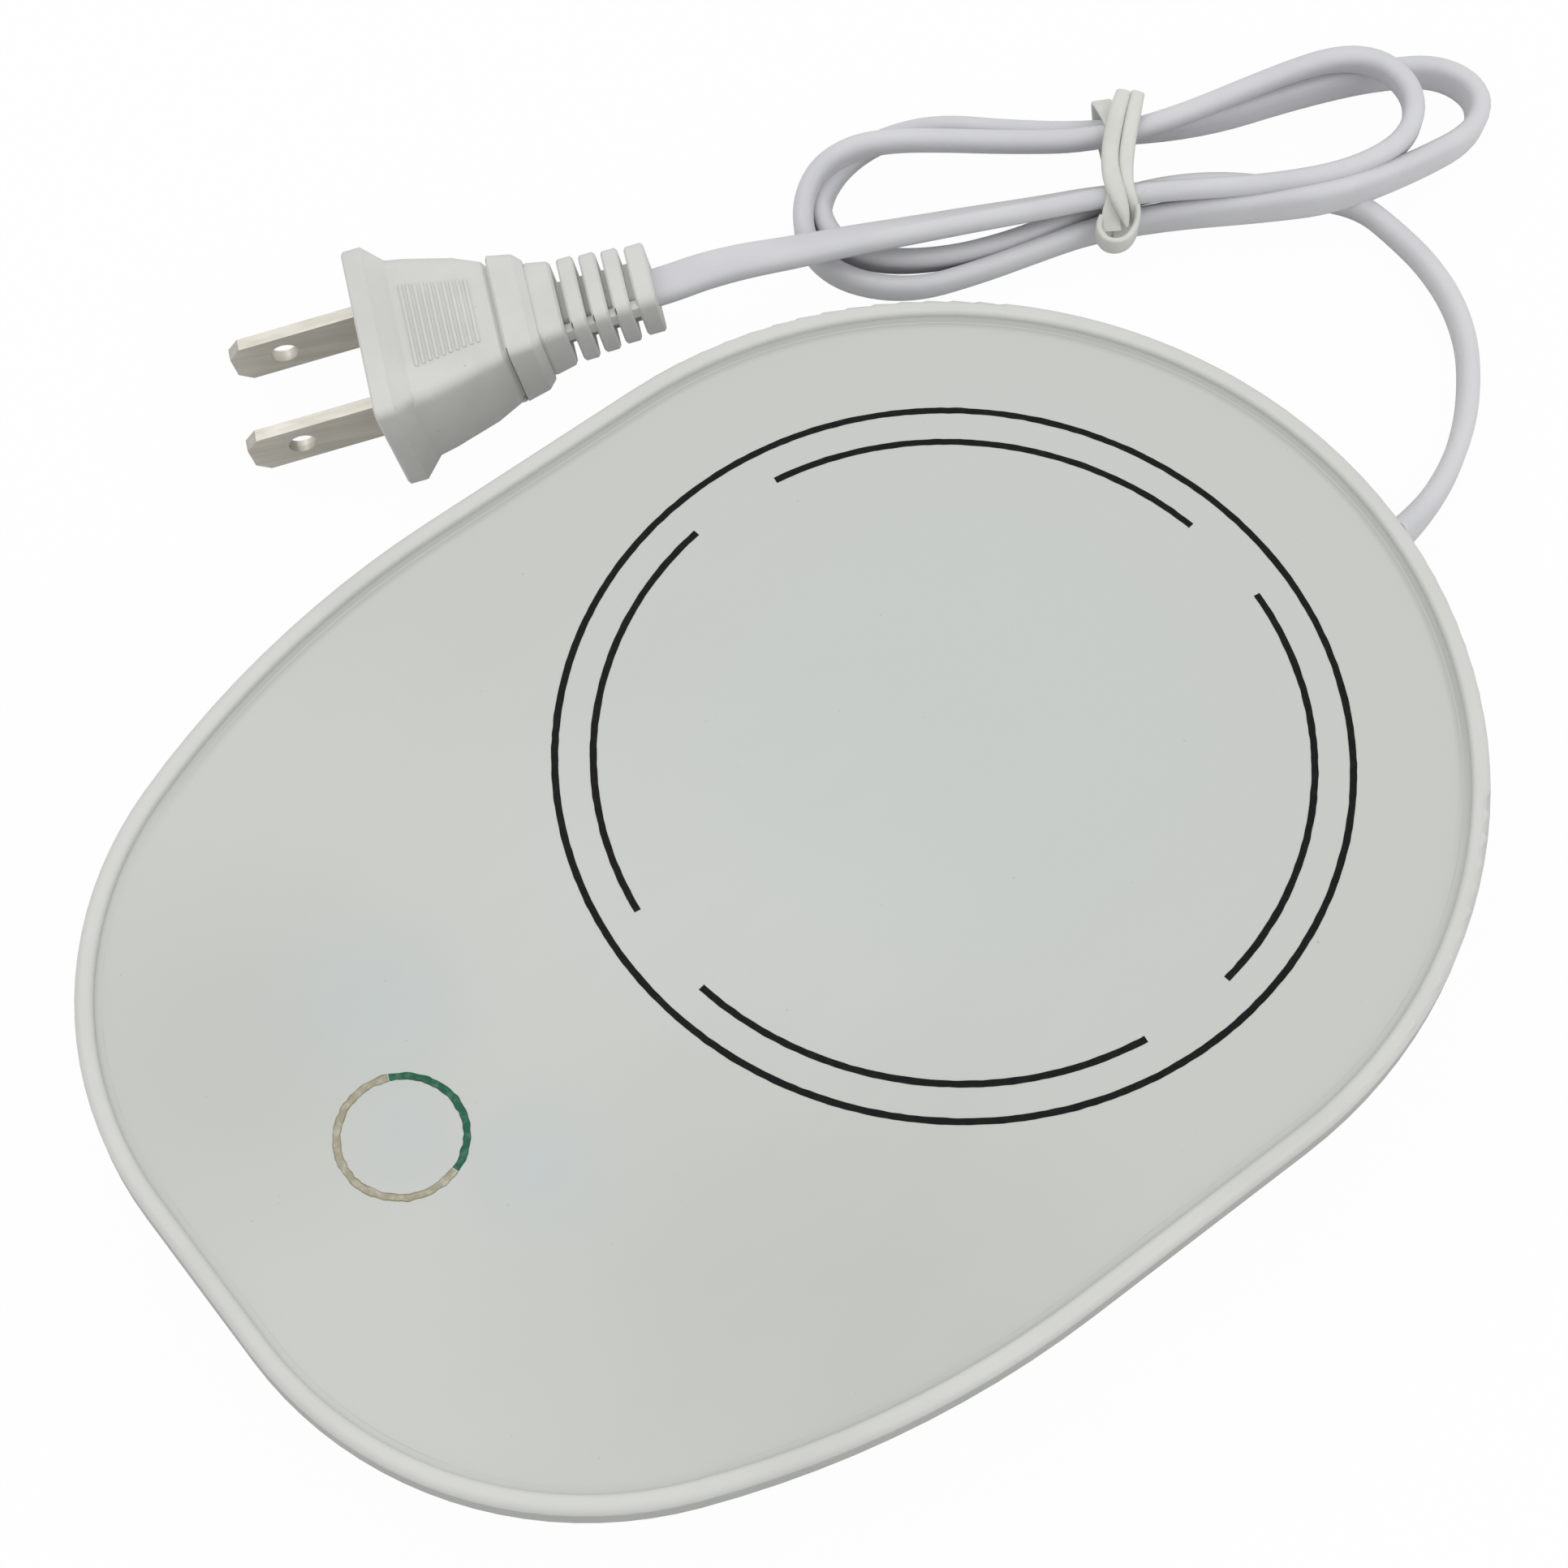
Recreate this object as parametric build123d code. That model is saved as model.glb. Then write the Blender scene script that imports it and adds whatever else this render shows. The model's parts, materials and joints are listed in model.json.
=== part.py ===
from build123d import *
from math import cos, pi, radians, sin, sqrt, tan
import os

# Mug warmer on a table, with its mains lead tied up behind it. Millimetres, +Z up.
# The origin is on the table under the middle of the housing's outline, and +X runs from the touch key
# to the heater ring.

# Outline of the housing, a drop shape seen from above
body_width = 114.0
tail_reach = 97.0         # from the heater ring's centre to the narrow end
side_arc_radius = 112.0
side_turn = 22.5          # degrees that the side turns on the large arc
tail_flat = 19.0          # straight stretch across the narrow end

# Heights and walls of the housing
foot_rise = 1.4
cover_thickness = 1.6
plate_height = 21.0
plate_thickness = 3.0
tape_thickness = 0.5
deck_thickness = 2.0
wall = 2.0
lip_width = 2.0
lip_rise = 0.9
rim_band = 3.5            # height of the upright band under the lip
wall_lean = 6.0           # how far the wall draws in from the band down to the base
lip_round = 0.9
lip_inner_round = 0.6
plate_edge = 0.3
seat_gap = 0.2            # between the plate's edge and the lip, and round the bottom cover
thread_gap = 0.05
screw_gap = 0.2           # round a screw's shank where it passes through
small_gap = 0.3
tape_inset = 0.6          # from the recess's side to the tape
tape_width = 5.4

# Heater stack under the printed ring
heater_margin = 17.0      # from the housing's side to the heat spreader
spreader_thickness = 1.5
film_margin = 2.0
film_thickness = 0.5
pad_margin = 1.0
pad_thickness = 4.0
opening_gap = 2.0         # between the heat spreader and the deck's opening
bracket_margin = 1.0
bracket_thickness = 1.0
tab_reach = 5.0           # from the bracket's edge to the middle of its screw
tab_width = 7.0
tab_root = 4.0
boss_radius = 3.2
screw_radius = 1.0
screw_bite = 3.4
screw_head_radius = 2.3
screw_head_height = 1.3

# Print, fired into the plate's face and flush with it
print_depth = 0.06
ring_margin = 2.5         # from the heat spreader's edge to the printed ring
ring_stroke = 0.7
arc_inset = 4.1           # from the printed ring in to the four arcs
arc_span = 73.6
key_setback = 25.0        # from the narrow end to the key's centre
key_radius = 6.6
key_stroke = 0.8

# Control board under the key
board_width = 44.0
board_thickness = 1.6
board_drop = 7.4          # from the deck down to the board
board_tail_gap = 11.0     # from the narrow end to the board
board_heater_gap = 4.0    # from the heater's bracket to the board
post_inset = 3.1
post_radius = 2.6
foam_radius = 4.0
guide_inner = 5.6
guide_outer = 7.5
guide_flange = 9.2
flange_thickness = 1.5
lamp_size = (2.0, 1.4, 1.2)
lamp_turns = (90, 210, 330)

# Blocks on the board: near and far side from its inner end, low and high side across, height
board_blocks = {
    "wire_terminals": (0.5, 7.5, -9.5, 4.0, 5.6),
    "sensor_connector": (1.5, 6.5, 5.0, 9.0, 5.5),
    "triac": (6.3, 12.8, 10.5, 20.0, 4.4),
    "controller_chip": (14.0, 24.0, 8.6, 12.6, 1.7),
    "film_capacitor": (6.3, 11.8, -21.0, -9.9, 7.0),
}
# Round pieces on the board: distance from its inner end, across, radius, height
board_rounds = {
    "smoothing_capacitor": (17.0, -12.6, 3.2, 7.0),
    "varistor": (17.0, 17.0, 3.6, 3.2),
}
board_fuse_near = 12.8
board_fuse_length = 9.0
board_fuse_across = -19.0
board_fuse_radius = 1.8
board_fuse_foot = 0.8

# Bottom cover, its screws and feet
case_boss_radius = 3.0
case_boss_gap = 1.2       # from the heater's bracket to the bosses beside it
case_screw_radius = 1.25
case_head_radius = 2.4
case_head_height = 1.1
case_screw_bite = 7.0
case_boss_turn = 22.0
tail_boss_setback = 17.0  # from the narrow end
tail_boss_gap = 1.0       # from the board's side to the bosses
foot_radius = 5.5
foot_recess = 0.8
foot_margin = 17.0        # from the housing's side to the middle of a foot
foot_turn = 49.0
tail_foot_setback = 25.0
tail_foot_across = 20.0

# Mains cord and what holds it in the wall
cord_diameter = 3.4
exit_across = -4.5
exit_height = 6.5
bush_reach = 5.0          # from the housing's wide end to the bush's tip
bush_collar = 0.5         # neck inside the taper
bush_inner_length = 5.0
bush_neck_radius = 2.6
bush_flange_radius = 3.4
bush_flange_thickness = 2.0
bush_tip_radius = 2.2
bush_hole_gap = 0.15
sheath_length = 15.0
clamp_gap = 0.1
clamp_width = 4.0
clamp_rib_half = 3.0
clamp_spread = 6.5
clamp_thickness = 1.4
clamp_head_radius = 2.0
clamp_head_height = 1.0
clamp_screw_bite = 3.4
clamp_hole_floor = 0.6
wire_radius = 0.8
wire_spread = 0.85        # from the cord's middle to each of its two wires
thin_wire_radius = 0.5
terminal_height = 2.0     # wire entry above the board

# Plug, two flat blades, lying on its flange with its tail raised
plug_from_hank = (-87.45, 30.53)
plug_heading = 154.9
plug_pitch = 10.0
flange_width = 23.5
flange_height = 16.6
flange_depth = 2.7
blade_pitch = 12.7
blade_width = 6.35
blade_thickness = 1.5
blade_length = 16.7
blade_hole_radius = 1.65
blade_hole_setback = 6.2
blade_root = 6.0
blade_tip_chamfer = 1.5
flange_corner = 2.0
body_corner = 2.4
# station behind the plug's face, half width and half height of the body
plug_body_stations = (
    (2.7, 10.8, 7.6),
    (3.5, 10.15, 6.9),
    (6.7, 9.6, 6.5),
    (12.2, 8.2, 6.0),
    (16.6, 6.0, 5.0),
)
relief_start = 16.6
relief_shoulder = 3.9
shoulder_near = (6.0, 4.9)    # half width and half height
shoulder_far = (5.2, 4.4)
relief_core = 2.5
core_corner = 1.0
relief_length = 33.9
disc_half_widths = (4.5, 4.3, 4.05, 3.85, 3.7)
disc_thickness = 1.4
disc_gap = 0.4            # from the shoulder to the first disc
disc_flatness = 0.85      # height to width
disc_corner = 1.8

# Hank: its middle, and stations along the cord: along, across, height, heading, climb in degrees
hank_beyond_end = 13.7    # from the housing's wide end to the hank's middle
hank_beside = 3.2         # from the housing's widest line in to the hank's middle
hank_heading = -26.4
hank_stations = (
    (16.0, -4.4, 1.7, 172, 0),
    (0.0, -2.3, 2.9, 177, 0),
    (-22.0, -3.2, 1.7, 180, 0),
    (-35.3, 4.3, 1.7, 90, 0),
    (-22.0, 14.2, 1.7, 0, 0),
    (0.0, 8.3, 2.9, -8, 0),
    (20.0, 8.6, 1.7, 5, 0),
    (36.5, 10.9, 1.7, 0, 0),
    (45.6, 3.5, 2.2, -90, 4),
    (28.0, -8.1, 5.9, 192, 3),
    (13.0, -8.2, 4.9, 176, -9),
    (0.0, -6.4, 2.9, 175, 0),
    (-26.0, -9.6, 5.7, 180, 2),
    (-38.4, 0.5, 5.9, 90, 0),
    (-27.0, 9.8, 5.9, 0, 0),
    (0.0, 5.1, 6.3, -4, 0),
    (26.5, 11.7, 6.3, 2, 0),
    (36.2, 3.7, 6.4, -90, 0),
    (26.0, -3.9, 6.6, 180, 0),
    (0.0, -4.3, 6.7, 180, 0),
    (-10.0, -4.3, 7.0, 180, 2),
)

# Twist tie round the hank's middle
tie_width = 3.4
tie_thickness = 0.7
tie_near = -9.1
tie_far = 11.3
tie_low = 0.15
tie_high = 9.4
tie_corner = 2.2
tie_tail_rise = 7.0
tie_tail_inset = 2.2

# Values worked out from those above
big_radius = body_width / 2
body_length = tail_reach + big_radius
tail_x = -body_length / 2
spreader_radius = big_radius - heater_margin
ring_radius = spreader_radius + ring_margin
arc_radius = ring_radius - arc_inset
ring_x = body_length / 2 - big_radius
turn_sin = sin(radians(side_turn))
turn_cos = cos(radians(side_turn))
corner_radius = (big_radius - side_arc_radius * (1 - turn_cos) - tail_flat / 2) / turn_cos
shoulder_x = tail_x + side_arc_radius * turn_sin + corner_radius * (1 - turn_sin)
plate_bottom = plate_height - plate_thickness
deck_top = plate_bottom - tape_thickness
deck_bottom = deck_top - deck_thickness
rim_top = plate_height + lip_rise
band_bottom = rim_top - rim_band
base = foot_rise
cover_top = base + cover_thickness
spreader_bottom = plate_bottom - spreader_thickness
film_bottom = spreader_bottom - film_thickness
pad_bottom = film_bottom - pad_thickness
bracket_bottom = pad_bottom - bracket_thickness
pad_radius = spreader_radius - pad_margin
bracket_radius = spreader_radius + bracket_margin
opening_radius = spreader_radius + opening_gap
tab_turns = (0, 120, 240)
bracket_boss_reach = bracket_radius + tab_reach
case_boss_reach = bracket_radius + case_boss_gap + case_boss_radius
key_x = tail_x + key_setback
board_end = ring_x - bracket_radius - board_heater_gap
board_tail = tail_x + board_tail_gap
board_top = deck_bottom - board_drop
board_bottom = board_top - board_thickness
print_bottom = plate_height - print_depth
bush_tip_x = body_length / 2 + bush_reach
hank_middle = (body_length / 2 + hank_beyond_end, big_radius - hank_beside)
plug_face = (hank_middle[0] + plug_from_hank[0], hank_middle[1] + plug_from_hank[1])
lamp_top = board_top + lamp_size[2]
key_opening_radius = guide_outer + small_gap
cord_radius = cord_diameter / 2

made = {}


def block(x0, x1, y0, y1, z0, z1):
    return Pos((x0 + x1) / 2, (y0 + y1) / 2, (z0 + z1) / 2) * Box(x1 - x0, y1 - y0, z1 - z0)


def post(x, y, radius, z0, z1):
    return Pos(x, y, (z0 + z1) / 2) * Cylinder(radius, z1 - z0)


def rod(x0, x1, y, z, radius):
    return Pos((x0 + x1) / 2, y, z) * Rot(0, 90, 0) * Cylinder(radius, x1 - x0)


def around(reach, turn):
    """Point at a reach and turn from the ring's centre."""
    return ring_x + reach * cos(radians(turn)), reach * sin(radians(turn))


def outline(inset, z):
    """Face of the drop shape, drawn in by an inset, at a height."""
    big = big_radius - inset
    side_centre = (shoulder_x, big_radius - side_arc_radius)
    corner_centre = (tail_x + corner_radius, tail_flat / 2)
    tail = tail_x + inset
    edges = [
        CenterArc((ring_x, 0), big, -90, 180),
        Line((tail, corner_centre[1]), (tail, -corner_centre[1])),
    ]
    if abs(shoulder_x - ring_x) > 0.01:
        edges += [Line((ring_x, s * big), (shoulder_x, s * big)) for s in (1, -1)]
    for s in (1, -1):
        start = 90 if s > 0 else 270 - side_turn
        corner = 90 + side_turn if s > 0 else 180
        side = (side_centre[0], s * side_centre[1])
        round_corner = (corner_centre[0], s * corner_centre[1])
        edges.append(CenterArc(side, side_arc_radius - inset, start, side_turn))
        edges.append(CenterArc(round_corner, corner_radius - inset, corner, 90 - side_turn))
    return Pos(0, 0, z) * make_face(Curve(edges))


def slab(inset, z0, z1):
    return extrude(outline(inset, z0), z1 - z0, dir=(0, 0, 1))


def ring(x, y, inner, outer, z0, z1):
    return post(x, y, outer, z0, z1) - post(x, y, inner, z0 - 1, z1 + 1)


def lean_at(z):
    """Inset of the wall's outside at a height."""
    return wall_lean * max(0.0, band_bottom - z) / (band_bottom - base)


def keep(name, shape):
    """Write one sub-component, a solid or a group of separate solids."""
    solids = shape.solids()
    made[name] = solids[0] if len(solids) == 1 else Compound(children=list(solids))
    made[name].label = name
    export_step(made[name], "parts/" + name + ".step")


case_bosses = [around(case_boss_reach, s * case_boss_turn) for s in (1, -1)]
tail_boss_across = board_width / 2 + tail_boss_gap + case_boss_radius
case_bosses += [(tail_x + tail_boss_setback, s * tail_boss_across) for s in (1, -1)]
bracket_bosses = [around(bracket_boss_reach, turn) for turn in tab_turns]
board_posts = [
    (x, s * (board_width / 2 - post_inset))
    for x in (board_end - post_inset, board_tail + post_inset)
    for s in (1, -1)
]
feet = [around(big_radius - foot_margin, s * foot_turn) for s in (1, -1)]
feet += [(tail_x + tail_foot_setback, s * tail_foot_across) for s in (1, -1)]
wall_x = body_length / 2 - lean_at(exit_height)
wall_slope = wall_lean / (band_bottom - base) * bush_flange_radius
bush_outer_x = wall_x + wall_slope + seat_gap
level_wall = wall * sqrt(1 + (wall_lean / (band_bottom - base)) ** 2)
bush_inner_x = wall_x - level_wall - wall_slope - seat_gap
bush_end_x = bush_inner_x - bush_flange_thickness - bush_inner_length
sheath_end_x = bush_end_x - sheath_length
clamp_x = bush_end_x - sheath_length / 2
clamp_bottom = exit_height + cord_radius + clamp_gap
clamp_top = clamp_bottom + clamp_thickness


def upper_housing():
    low = outline(wall_lean, base)
    high = outline(0, band_bottom)
    shell = loft([low, high], ruled=True) + slab(0, band_bottom, rim_top)
    shell = fillet(shell.faces().sort_by(Axis.Z)[-1].outer_wire().edges(), lip_round)
    shell -= slab(lip_width, deck_top, rim_top + 1)
    inner_edges = shell.faces().sort_by(Axis.Z)[-1].inner_wires()[0].edges()
    shell = shell.fillet(lip_inner_round, inner_edges)
    inner_low = outline(wall_lean + wall, base - 0.01)
    inner_high = outline(wall + lean_at(deck_bottom), deck_bottom)
    cavity = loft([inner_low, inner_high], ruled=True)
    shell -= cavity
    shell -= post(ring_x, 0, opening_radius, deck_bottom - 1, deck_top + 1)
    shell -= post(key_x, 0, key_opening_radius, deck_bottom - 1, deck_top + 1)
    for x, y in case_bosses:
        shell += post(x, y, case_boss_radius, cover_top, deck_bottom)
    for x, y in bracket_bosses:
        shell += post(x, y, boss_radius, pad_bottom, deck_bottom)
    for x, y in board_posts:
        shell += post(x, y, post_radius, board_top, deck_bottom)
    for x, y in case_bosses:
        top = cover_top + case_screw_bite + small_gap
        shell -= post(x, y, case_screw_radius + thread_gap, cover_top - 1, top)
    for x, y in bracket_bosses:
        shell -= post(x, y, screw_radius + thread_gap, pad_bottom - 1, pad_bottom + screw_bite)
    for x, y in board_posts:
        shell -= post(x, y, screw_radius + thread_gap, board_top - 1, board_top + screw_bite)
    hole_radius = bush_neck_radius + bush_hole_gap
    return shell - rod(wall_x - 3 * wall, wall_x + 3 * wall, exit_across, exit_height, hole_radius)


def bottom_cover():
    cover = slab(wall_lean + wall + seat_gap, base, cover_top)
    for x, y in case_bosses:
        shank_radius = case_screw_radius + screw_gap
        cover -= post(x, y, shank_radius, base - 1, cover_top + 1)
        head = Cone(case_head_radius + screw_gap, shank_radius, case_head_height)
        cover -= Pos(x, y, base + case_head_height / 2) * head
    for x, y in feet:
        cover -= post(x, y, foot_radius + small_gap, base - 1, base + foot_recess)
    rib_top = exit_height - cord_radius - clamp_gap
    low, high = exit_across - clamp_rib_half, exit_across + clamp_rib_half
    half = clamp_width / 2
    cover += block(clamp_x - half, clamp_x + half, low, high, cover_top, rib_top)
    for s in (1, -1):
        y = exit_across + s * clamp_spread
        cover += post(clamp_x, y, post_radius, cover_top, clamp_bottom)
        cover -= post(clamp_x, y, screw_radius + thread_gap, cover_top + clamp_hole_floor, clamp_bottom + 1)
    return cover


def screws(points, radius, head_radius, head_height, seat, length, upward=True):
    """Pan-head screws, heads below the seat when they point up."""
    group = []
    way = 1 if upward else -1
    for x, y in points:
        far = seat + way * length
        head = seat - way * head_height
        shank = post(x, y, radius, min(seat, far), max(seat, far))
        group.append(shank + post(x, y, head_radius, min(seat, head), max(seat, head)))
    return Compound(children=group)


def case_screws():
    group = []
    for x, y in case_bosses:
        head = Pos(x, y, base + case_head_height / 2) * Cone(
            case_head_radius, case_screw_radius, case_head_height
        )
        shank = post(x, y, case_screw_radius, base, cover_top + case_screw_bite)
        group.append(head + shank)
    return Compound(children=group)


def rubber_feet():
    return Compound(children=[post(x, y, foot_radius, 0, base + foot_recess) for x, y in feet])


def printed_ring():
    half = ring_stroke / 2
    group = [ring(ring_x, 0, ring_radius - half, ring_radius + half, print_bottom, plate_height)]
    for quadrant in range(4):
        turn = 90 * quadrant + (90 - arc_span) / 2
        outer = CenterArc((ring_x, 0), arc_radius + half, turn, arc_span)
        inner = CenterArc((ring_x, 0), arc_radius - half, turn, arc_span)
        sides = [Line(outer @ 0, inner @ 0), Line(outer @ 1, inner @ 1)]
        face = make_face(Curve([outer, inner] + sides))
        group.append(extrude(Pos(0, 0, print_bottom) * face, print_depth, dir=(0, 0, 1)))
    return Compound(children=group)


def key_ring():
    half = key_stroke / 2
    return ring(key_x, 0, key_radius - half, key_radius + half, print_bottom, plate_height)


def top_plate():
    plate = slab(lip_width + seat_gap, plate_bottom, plate_height)
    plate = chamfer(plate.faces().sort_by(Axis.Z)[-1].edges(), plate_edge)
    return plate - printed_ring() - key_ring()


def plate_tape():
    outer = lip_width + tape_inset
    return slab(outer, deck_top, plate_bottom) - slab(outer + tape_width, deck_top - 1, plate_bottom + 1)


# Lanes of the wires across the heater's tail side
fuse_lane = -7.5
supply_lanes = (-4.5, -1.8)
heater_lane = 2.0
sensor_lane = 7.0
notch_depth = 4.0
wire_drop_depth = 1.5
notch_x = ring_x - pad_radius + notch_depth
wire_drop_x = ring_x - pad_radius + wire_drop_depth
entry_z = board_top + terminal_height
fuse_radius = 1.7
fuse_length = 10.0
bead_radius = 1.3
bead_length = 4.0
bead_wire_offset = 0.7
fuse_lead = 2.2
terminal_bite = 0.5       # from the board's inner end to a wire's end
fuse_z = film_bottom - small_gap - fuse_radius
bead_z = film_bottom - bead_radius
tight_bend = 1.7
wide_bend = 2.4
supply_bend = 4.0
supply_rise = 3.0         # from the bottom cover up to the supply wires


def insulation_pad():
    pad = post(ring_x, 0, pad_radius, pad_bottom, film_bottom)
    low, high = pad_bottom - 1, film_bottom + 1
    fuse_half = fuse_radius + small_gap
    bead_half = bead_radius + small_gap
    tail = ring_x - pad_radius - 1
    pad -= block(tail, ring_x + fuse_length, fuse_lane - fuse_half, fuse_lane + fuse_half, low, high)
    pad -= block(tail, ring_x + bead_length, sensor_lane - bead_half, sensor_lane + bead_half, low, high)
    return pad - block(tail, notch_x, fuse_lane - fuse_half, sensor_lane + bead_half, low, high)


def heater_bracket():
    bracket = post(ring_x, 0, bracket_radius, bracket_bottom, pad_bottom)
    for turn in tab_turns:
        root_x = ring_x + bracket_radius - tab_root
        hole_x = ring_x + bracket_boss_reach
        tab = block(root_x, hole_x, -tab_width / 2, tab_width / 2, bracket_bottom, pad_bottom)
        tab += post(hole_x, 0, tab_width / 2, bracket_bottom, pad_bottom)
        tab -= post(hole_x, 0, screw_radius + screw_gap, bracket_bottom - 1, pad_bottom + 1)
        bracket += Pos(ring_x, 0, 0) * Rot(0, 0, turn) * Pos(-ring_x, 0, 0) * tab
    low = fuse_lane - fuse_radius - small_gap
    high = sensor_lane + bead_radius + small_gap
    tail = ring_x - bracket_radius - 1
    return bracket - block(tail, notch_x, low, high, bracket_bottom - 1, pad_bottom + 1)


def heater_film():
    return post(ring_x, 0, spreader_radius - film_margin, film_bottom, spreader_bottom)


def bent_wire(points, radius, bend):
    """Round wire along straight runs joined by arcs."""
    path = FilletPolyline(*points, radius=bend)
    profile = Plane(origin=path @ 0, z_dir=path % 0) * Circle(radius)
    return sweep(profile, path=path)


def heater_wires():
    near = [
        (wire_drop_x, heater_lane, film_bottom),
        (wire_drop_x, heater_lane, entry_z),
        (board_end - terminal_bite, heater_lane, entry_z),
    ]
    far = [
        (ring_x - fuse_length / 2, fuse_lane, fuse_z),
        (wire_drop_x, fuse_lane, fuse_z),
        (wire_drop_x, fuse_lane, entry_z),
        (board_end - terminal_bite, fuse_lane, entry_z),
    ]
    wires = [bent_wire(near, wire_radius, wide_bend), bent_wire(far, wire_radius, tight_bend)]
    return Compound(children=wires)


def thermal_fuse():
    end = ring_x + fuse_length / 2
    body = rod(ring_x - fuse_length / 2, end, fuse_lane, fuse_z, fuse_radius)
    lead = rod(end, end + fuse_lead, fuse_lane, fuse_z, thin_wire_radius)
    lead += post(end + fuse_lead - thin_wire_radius, fuse_lane, thin_wire_radius, fuse_z, film_bottom)
    return body + lead


def temperature_sensor():
    return rod(ring_x - bead_length / 2, ring_x + bead_length / 2, sensor_lane, bead_z, bead_radius)


def sensor_wires():
    group = []
    plug_in_near = board_blocks["sensor_connector"][0]
    for s in (1, -1):
        lane = sensor_lane + s * bead_wire_offset
        points = [
            (ring_x - bead_length / 2, lane, bead_z),
            (wire_drop_x, lane, bead_z),
            (wire_drop_x, lane, entry_z),
            (board_end - plug_in_near, lane, entry_z),
        ]
        group.append(bent_wire(points, thin_wire_radius, tight_bend))
    return Compound(children=group)


def supply_wires():
    group = []
    for s, lane in zip((-1, 1), supply_lanes):
        points = [
            (sheath_end_x, exit_across + s * wire_spread, exit_height),
            (sheath_end_x - 9, exit_across + s * wire_spread, exit_height),
            (sheath_end_x - 26, lane, cover_top + supply_rise),
            (board_end + 20, lane, cover_top + supply_rise),
            (board_end + 8, lane, entry_z),
            (board_end - terminal_bite, lane, entry_z),
        ]
        group.append(bent_wire(points, wire_radius, supply_bend))
    return Compound(children=group)


def control_board():
    board = block(board_tail, board_end, -board_width / 2, board_width / 2, board_bottom, board_top)
    for x, y in board_posts:
        board -= post(x, y, screw_radius + screw_gap, board_bottom - 1, board_top + 1)
    return board


def board_parts():
    """Pieces soldered on the board, each by its own name."""
    for name, (near, far, low, high, height) in board_blocks.items():
        keep(name, block(board_end - far, board_end - near, low, high, board_top, board_top + height))
    for name, (near, across, radius, height) in board_rounds.items():
        keep(name, post(board_end - near, across, radius, board_top, board_top + height))
    fuse_x = board_end - board_fuse_near
    middle_z = board_top + board_fuse_radius + thread_gap
    fuse = rod(fuse_x - board_fuse_length, fuse_x, board_fuse_across, middle_z, board_fuse_radius)
    low, high = board_fuse_across - 1, board_fuse_across + 1
    for x in (fuse_x, fuse_x - board_fuse_length):
        fuse += block(x - board_fuse_foot, x + board_fuse_foot, low, high, board_top, middle_z)
    keep("board_fuse", fuse)


def key_parts():
    keep("touch_foam_pad", post(key_x, 0, foam_radius, board_top, plate_bottom))
    guide = ring(key_x, 0, guide_inner, guide_outer, lamp_top + small_gap, plate_bottom)
    guide += ring(key_x, 0, guide_inner, guide_flange, deck_bottom - flange_thickness, deck_bottom)
    keep("key_light_guide", guide)
    reach = (guide_inner + guide_outer) / 2
    length, width, height = lamp_size
    lamps = []
    for turn in lamp_turns:
        lamp = Pos(reach, 0, board_top + height / 2) * Box(length, width, height)
        lamps.append(Pos(key_x, 0, 0) * Rot(0, 0, turn) * lamp)
    keep("indicator_lamps", Compound(children=lamps))


def cord_bush():
    flange_x = bush_inner_x - bush_flange_thickness
    bush = rod(bush_end_x, bush_outer_x + bush_collar, exit_across, exit_height, bush_neck_radius)
    bush += rod(flange_x, bush_inner_x, exit_across, exit_height, bush_flange_radius)
    taper_length = bush_tip_x - bush_outer_x
    taper = Cone(bush_flange_radius, bush_tip_radius, taper_length)
    bush += Pos(bush_outer_x + taper_length / 2, exit_across, exit_height) * Rot(0, 90, 0) * taper
    return bush


def cord_clamp():
    half = clamp_width / 2
    reach = clamp_spread + post_radius
    low, high = exit_across - reach, exit_across + reach
    bar = block(clamp_x - half, clamp_x + half, low, high, clamp_bottom, clamp_top)
    for s in (1, -1):
        y = exit_across + s * clamp_spread
        bar -= post(clamp_x, y, screw_radius + screw_gap, clamp_bottom - 1, clamp_top + 1)
    return bar


# Plug frame: +Z towards the blades' tips, +X to the side, +Y up
heading_vector = Vector(cos(radians(plug_heading)), sin(radians(plug_heading)), 0)
tips_way = heading_vector * cos(radians(plug_pitch)) - Vector(0, 0, sin(radians(plug_pitch)))
side_way = Vector(cos(radians(plug_heading + 90)), sin(radians(plug_heading + 90)), 0)
face_z = flange_height / 2 * cos(radians(plug_pitch))
plug_frame = Plane(origin=(plug_face[0], plug_face[1], face_z), x_dir=side_way, z_dir=tips_way)


def plug_section(back, half_width, half_height, corner):
    shape = RectangleRounded(2 * half_width, 2 * half_height, corner)
    return plug_frame * Pos(0, 0, -back) * shape


def plug_slice(start, end, half_width, half_height, corner):
    return extrude(plug_section(end, half_width, half_height, corner), end - start, dir=tips_way)


def plug_body():
    body = plug_slice(0, flange_depth, flange_width / 2, flange_height / 2, flange_corner)
    sections = [plug_section(b, w, h, body_corner) for b, w, h in plug_body_stations]
    for near, far in zip(sections, sections[1:]):
        body += loft([near, far], ruled=True)
    for s in (1, -1):
        slot = Box(blade_thickness, blade_width, blade_root)
        body -= plug_frame * Pos(s * blade_pitch / 2, 0, -blade_root / 2) * slot
    return body


def plug_strain_relief():
    core_start = relief_start + relief_shoulder
    near = plug_section(relief_start, *shoulder_near, body_corner)
    far = plug_section(core_start, *shoulder_far, body_corner)
    relief = loft([near, far], ruled=True)
    relief += plug_slice(core_start, relief_length, relief_core, relief_core * disc_flatness, core_corner)
    room = relief_length - disc_thickness - core_start - disc_gap
    step = room / (len(disc_half_widths) - 1)
    for index, half_width in enumerate(disc_half_widths):
        near = core_start + disc_gap + index * step
        half_height = half_width * disc_flatness
        relief += plug_slice(near, near + disc_thickness, half_width, half_height, disc_corner)
    return relief


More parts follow.
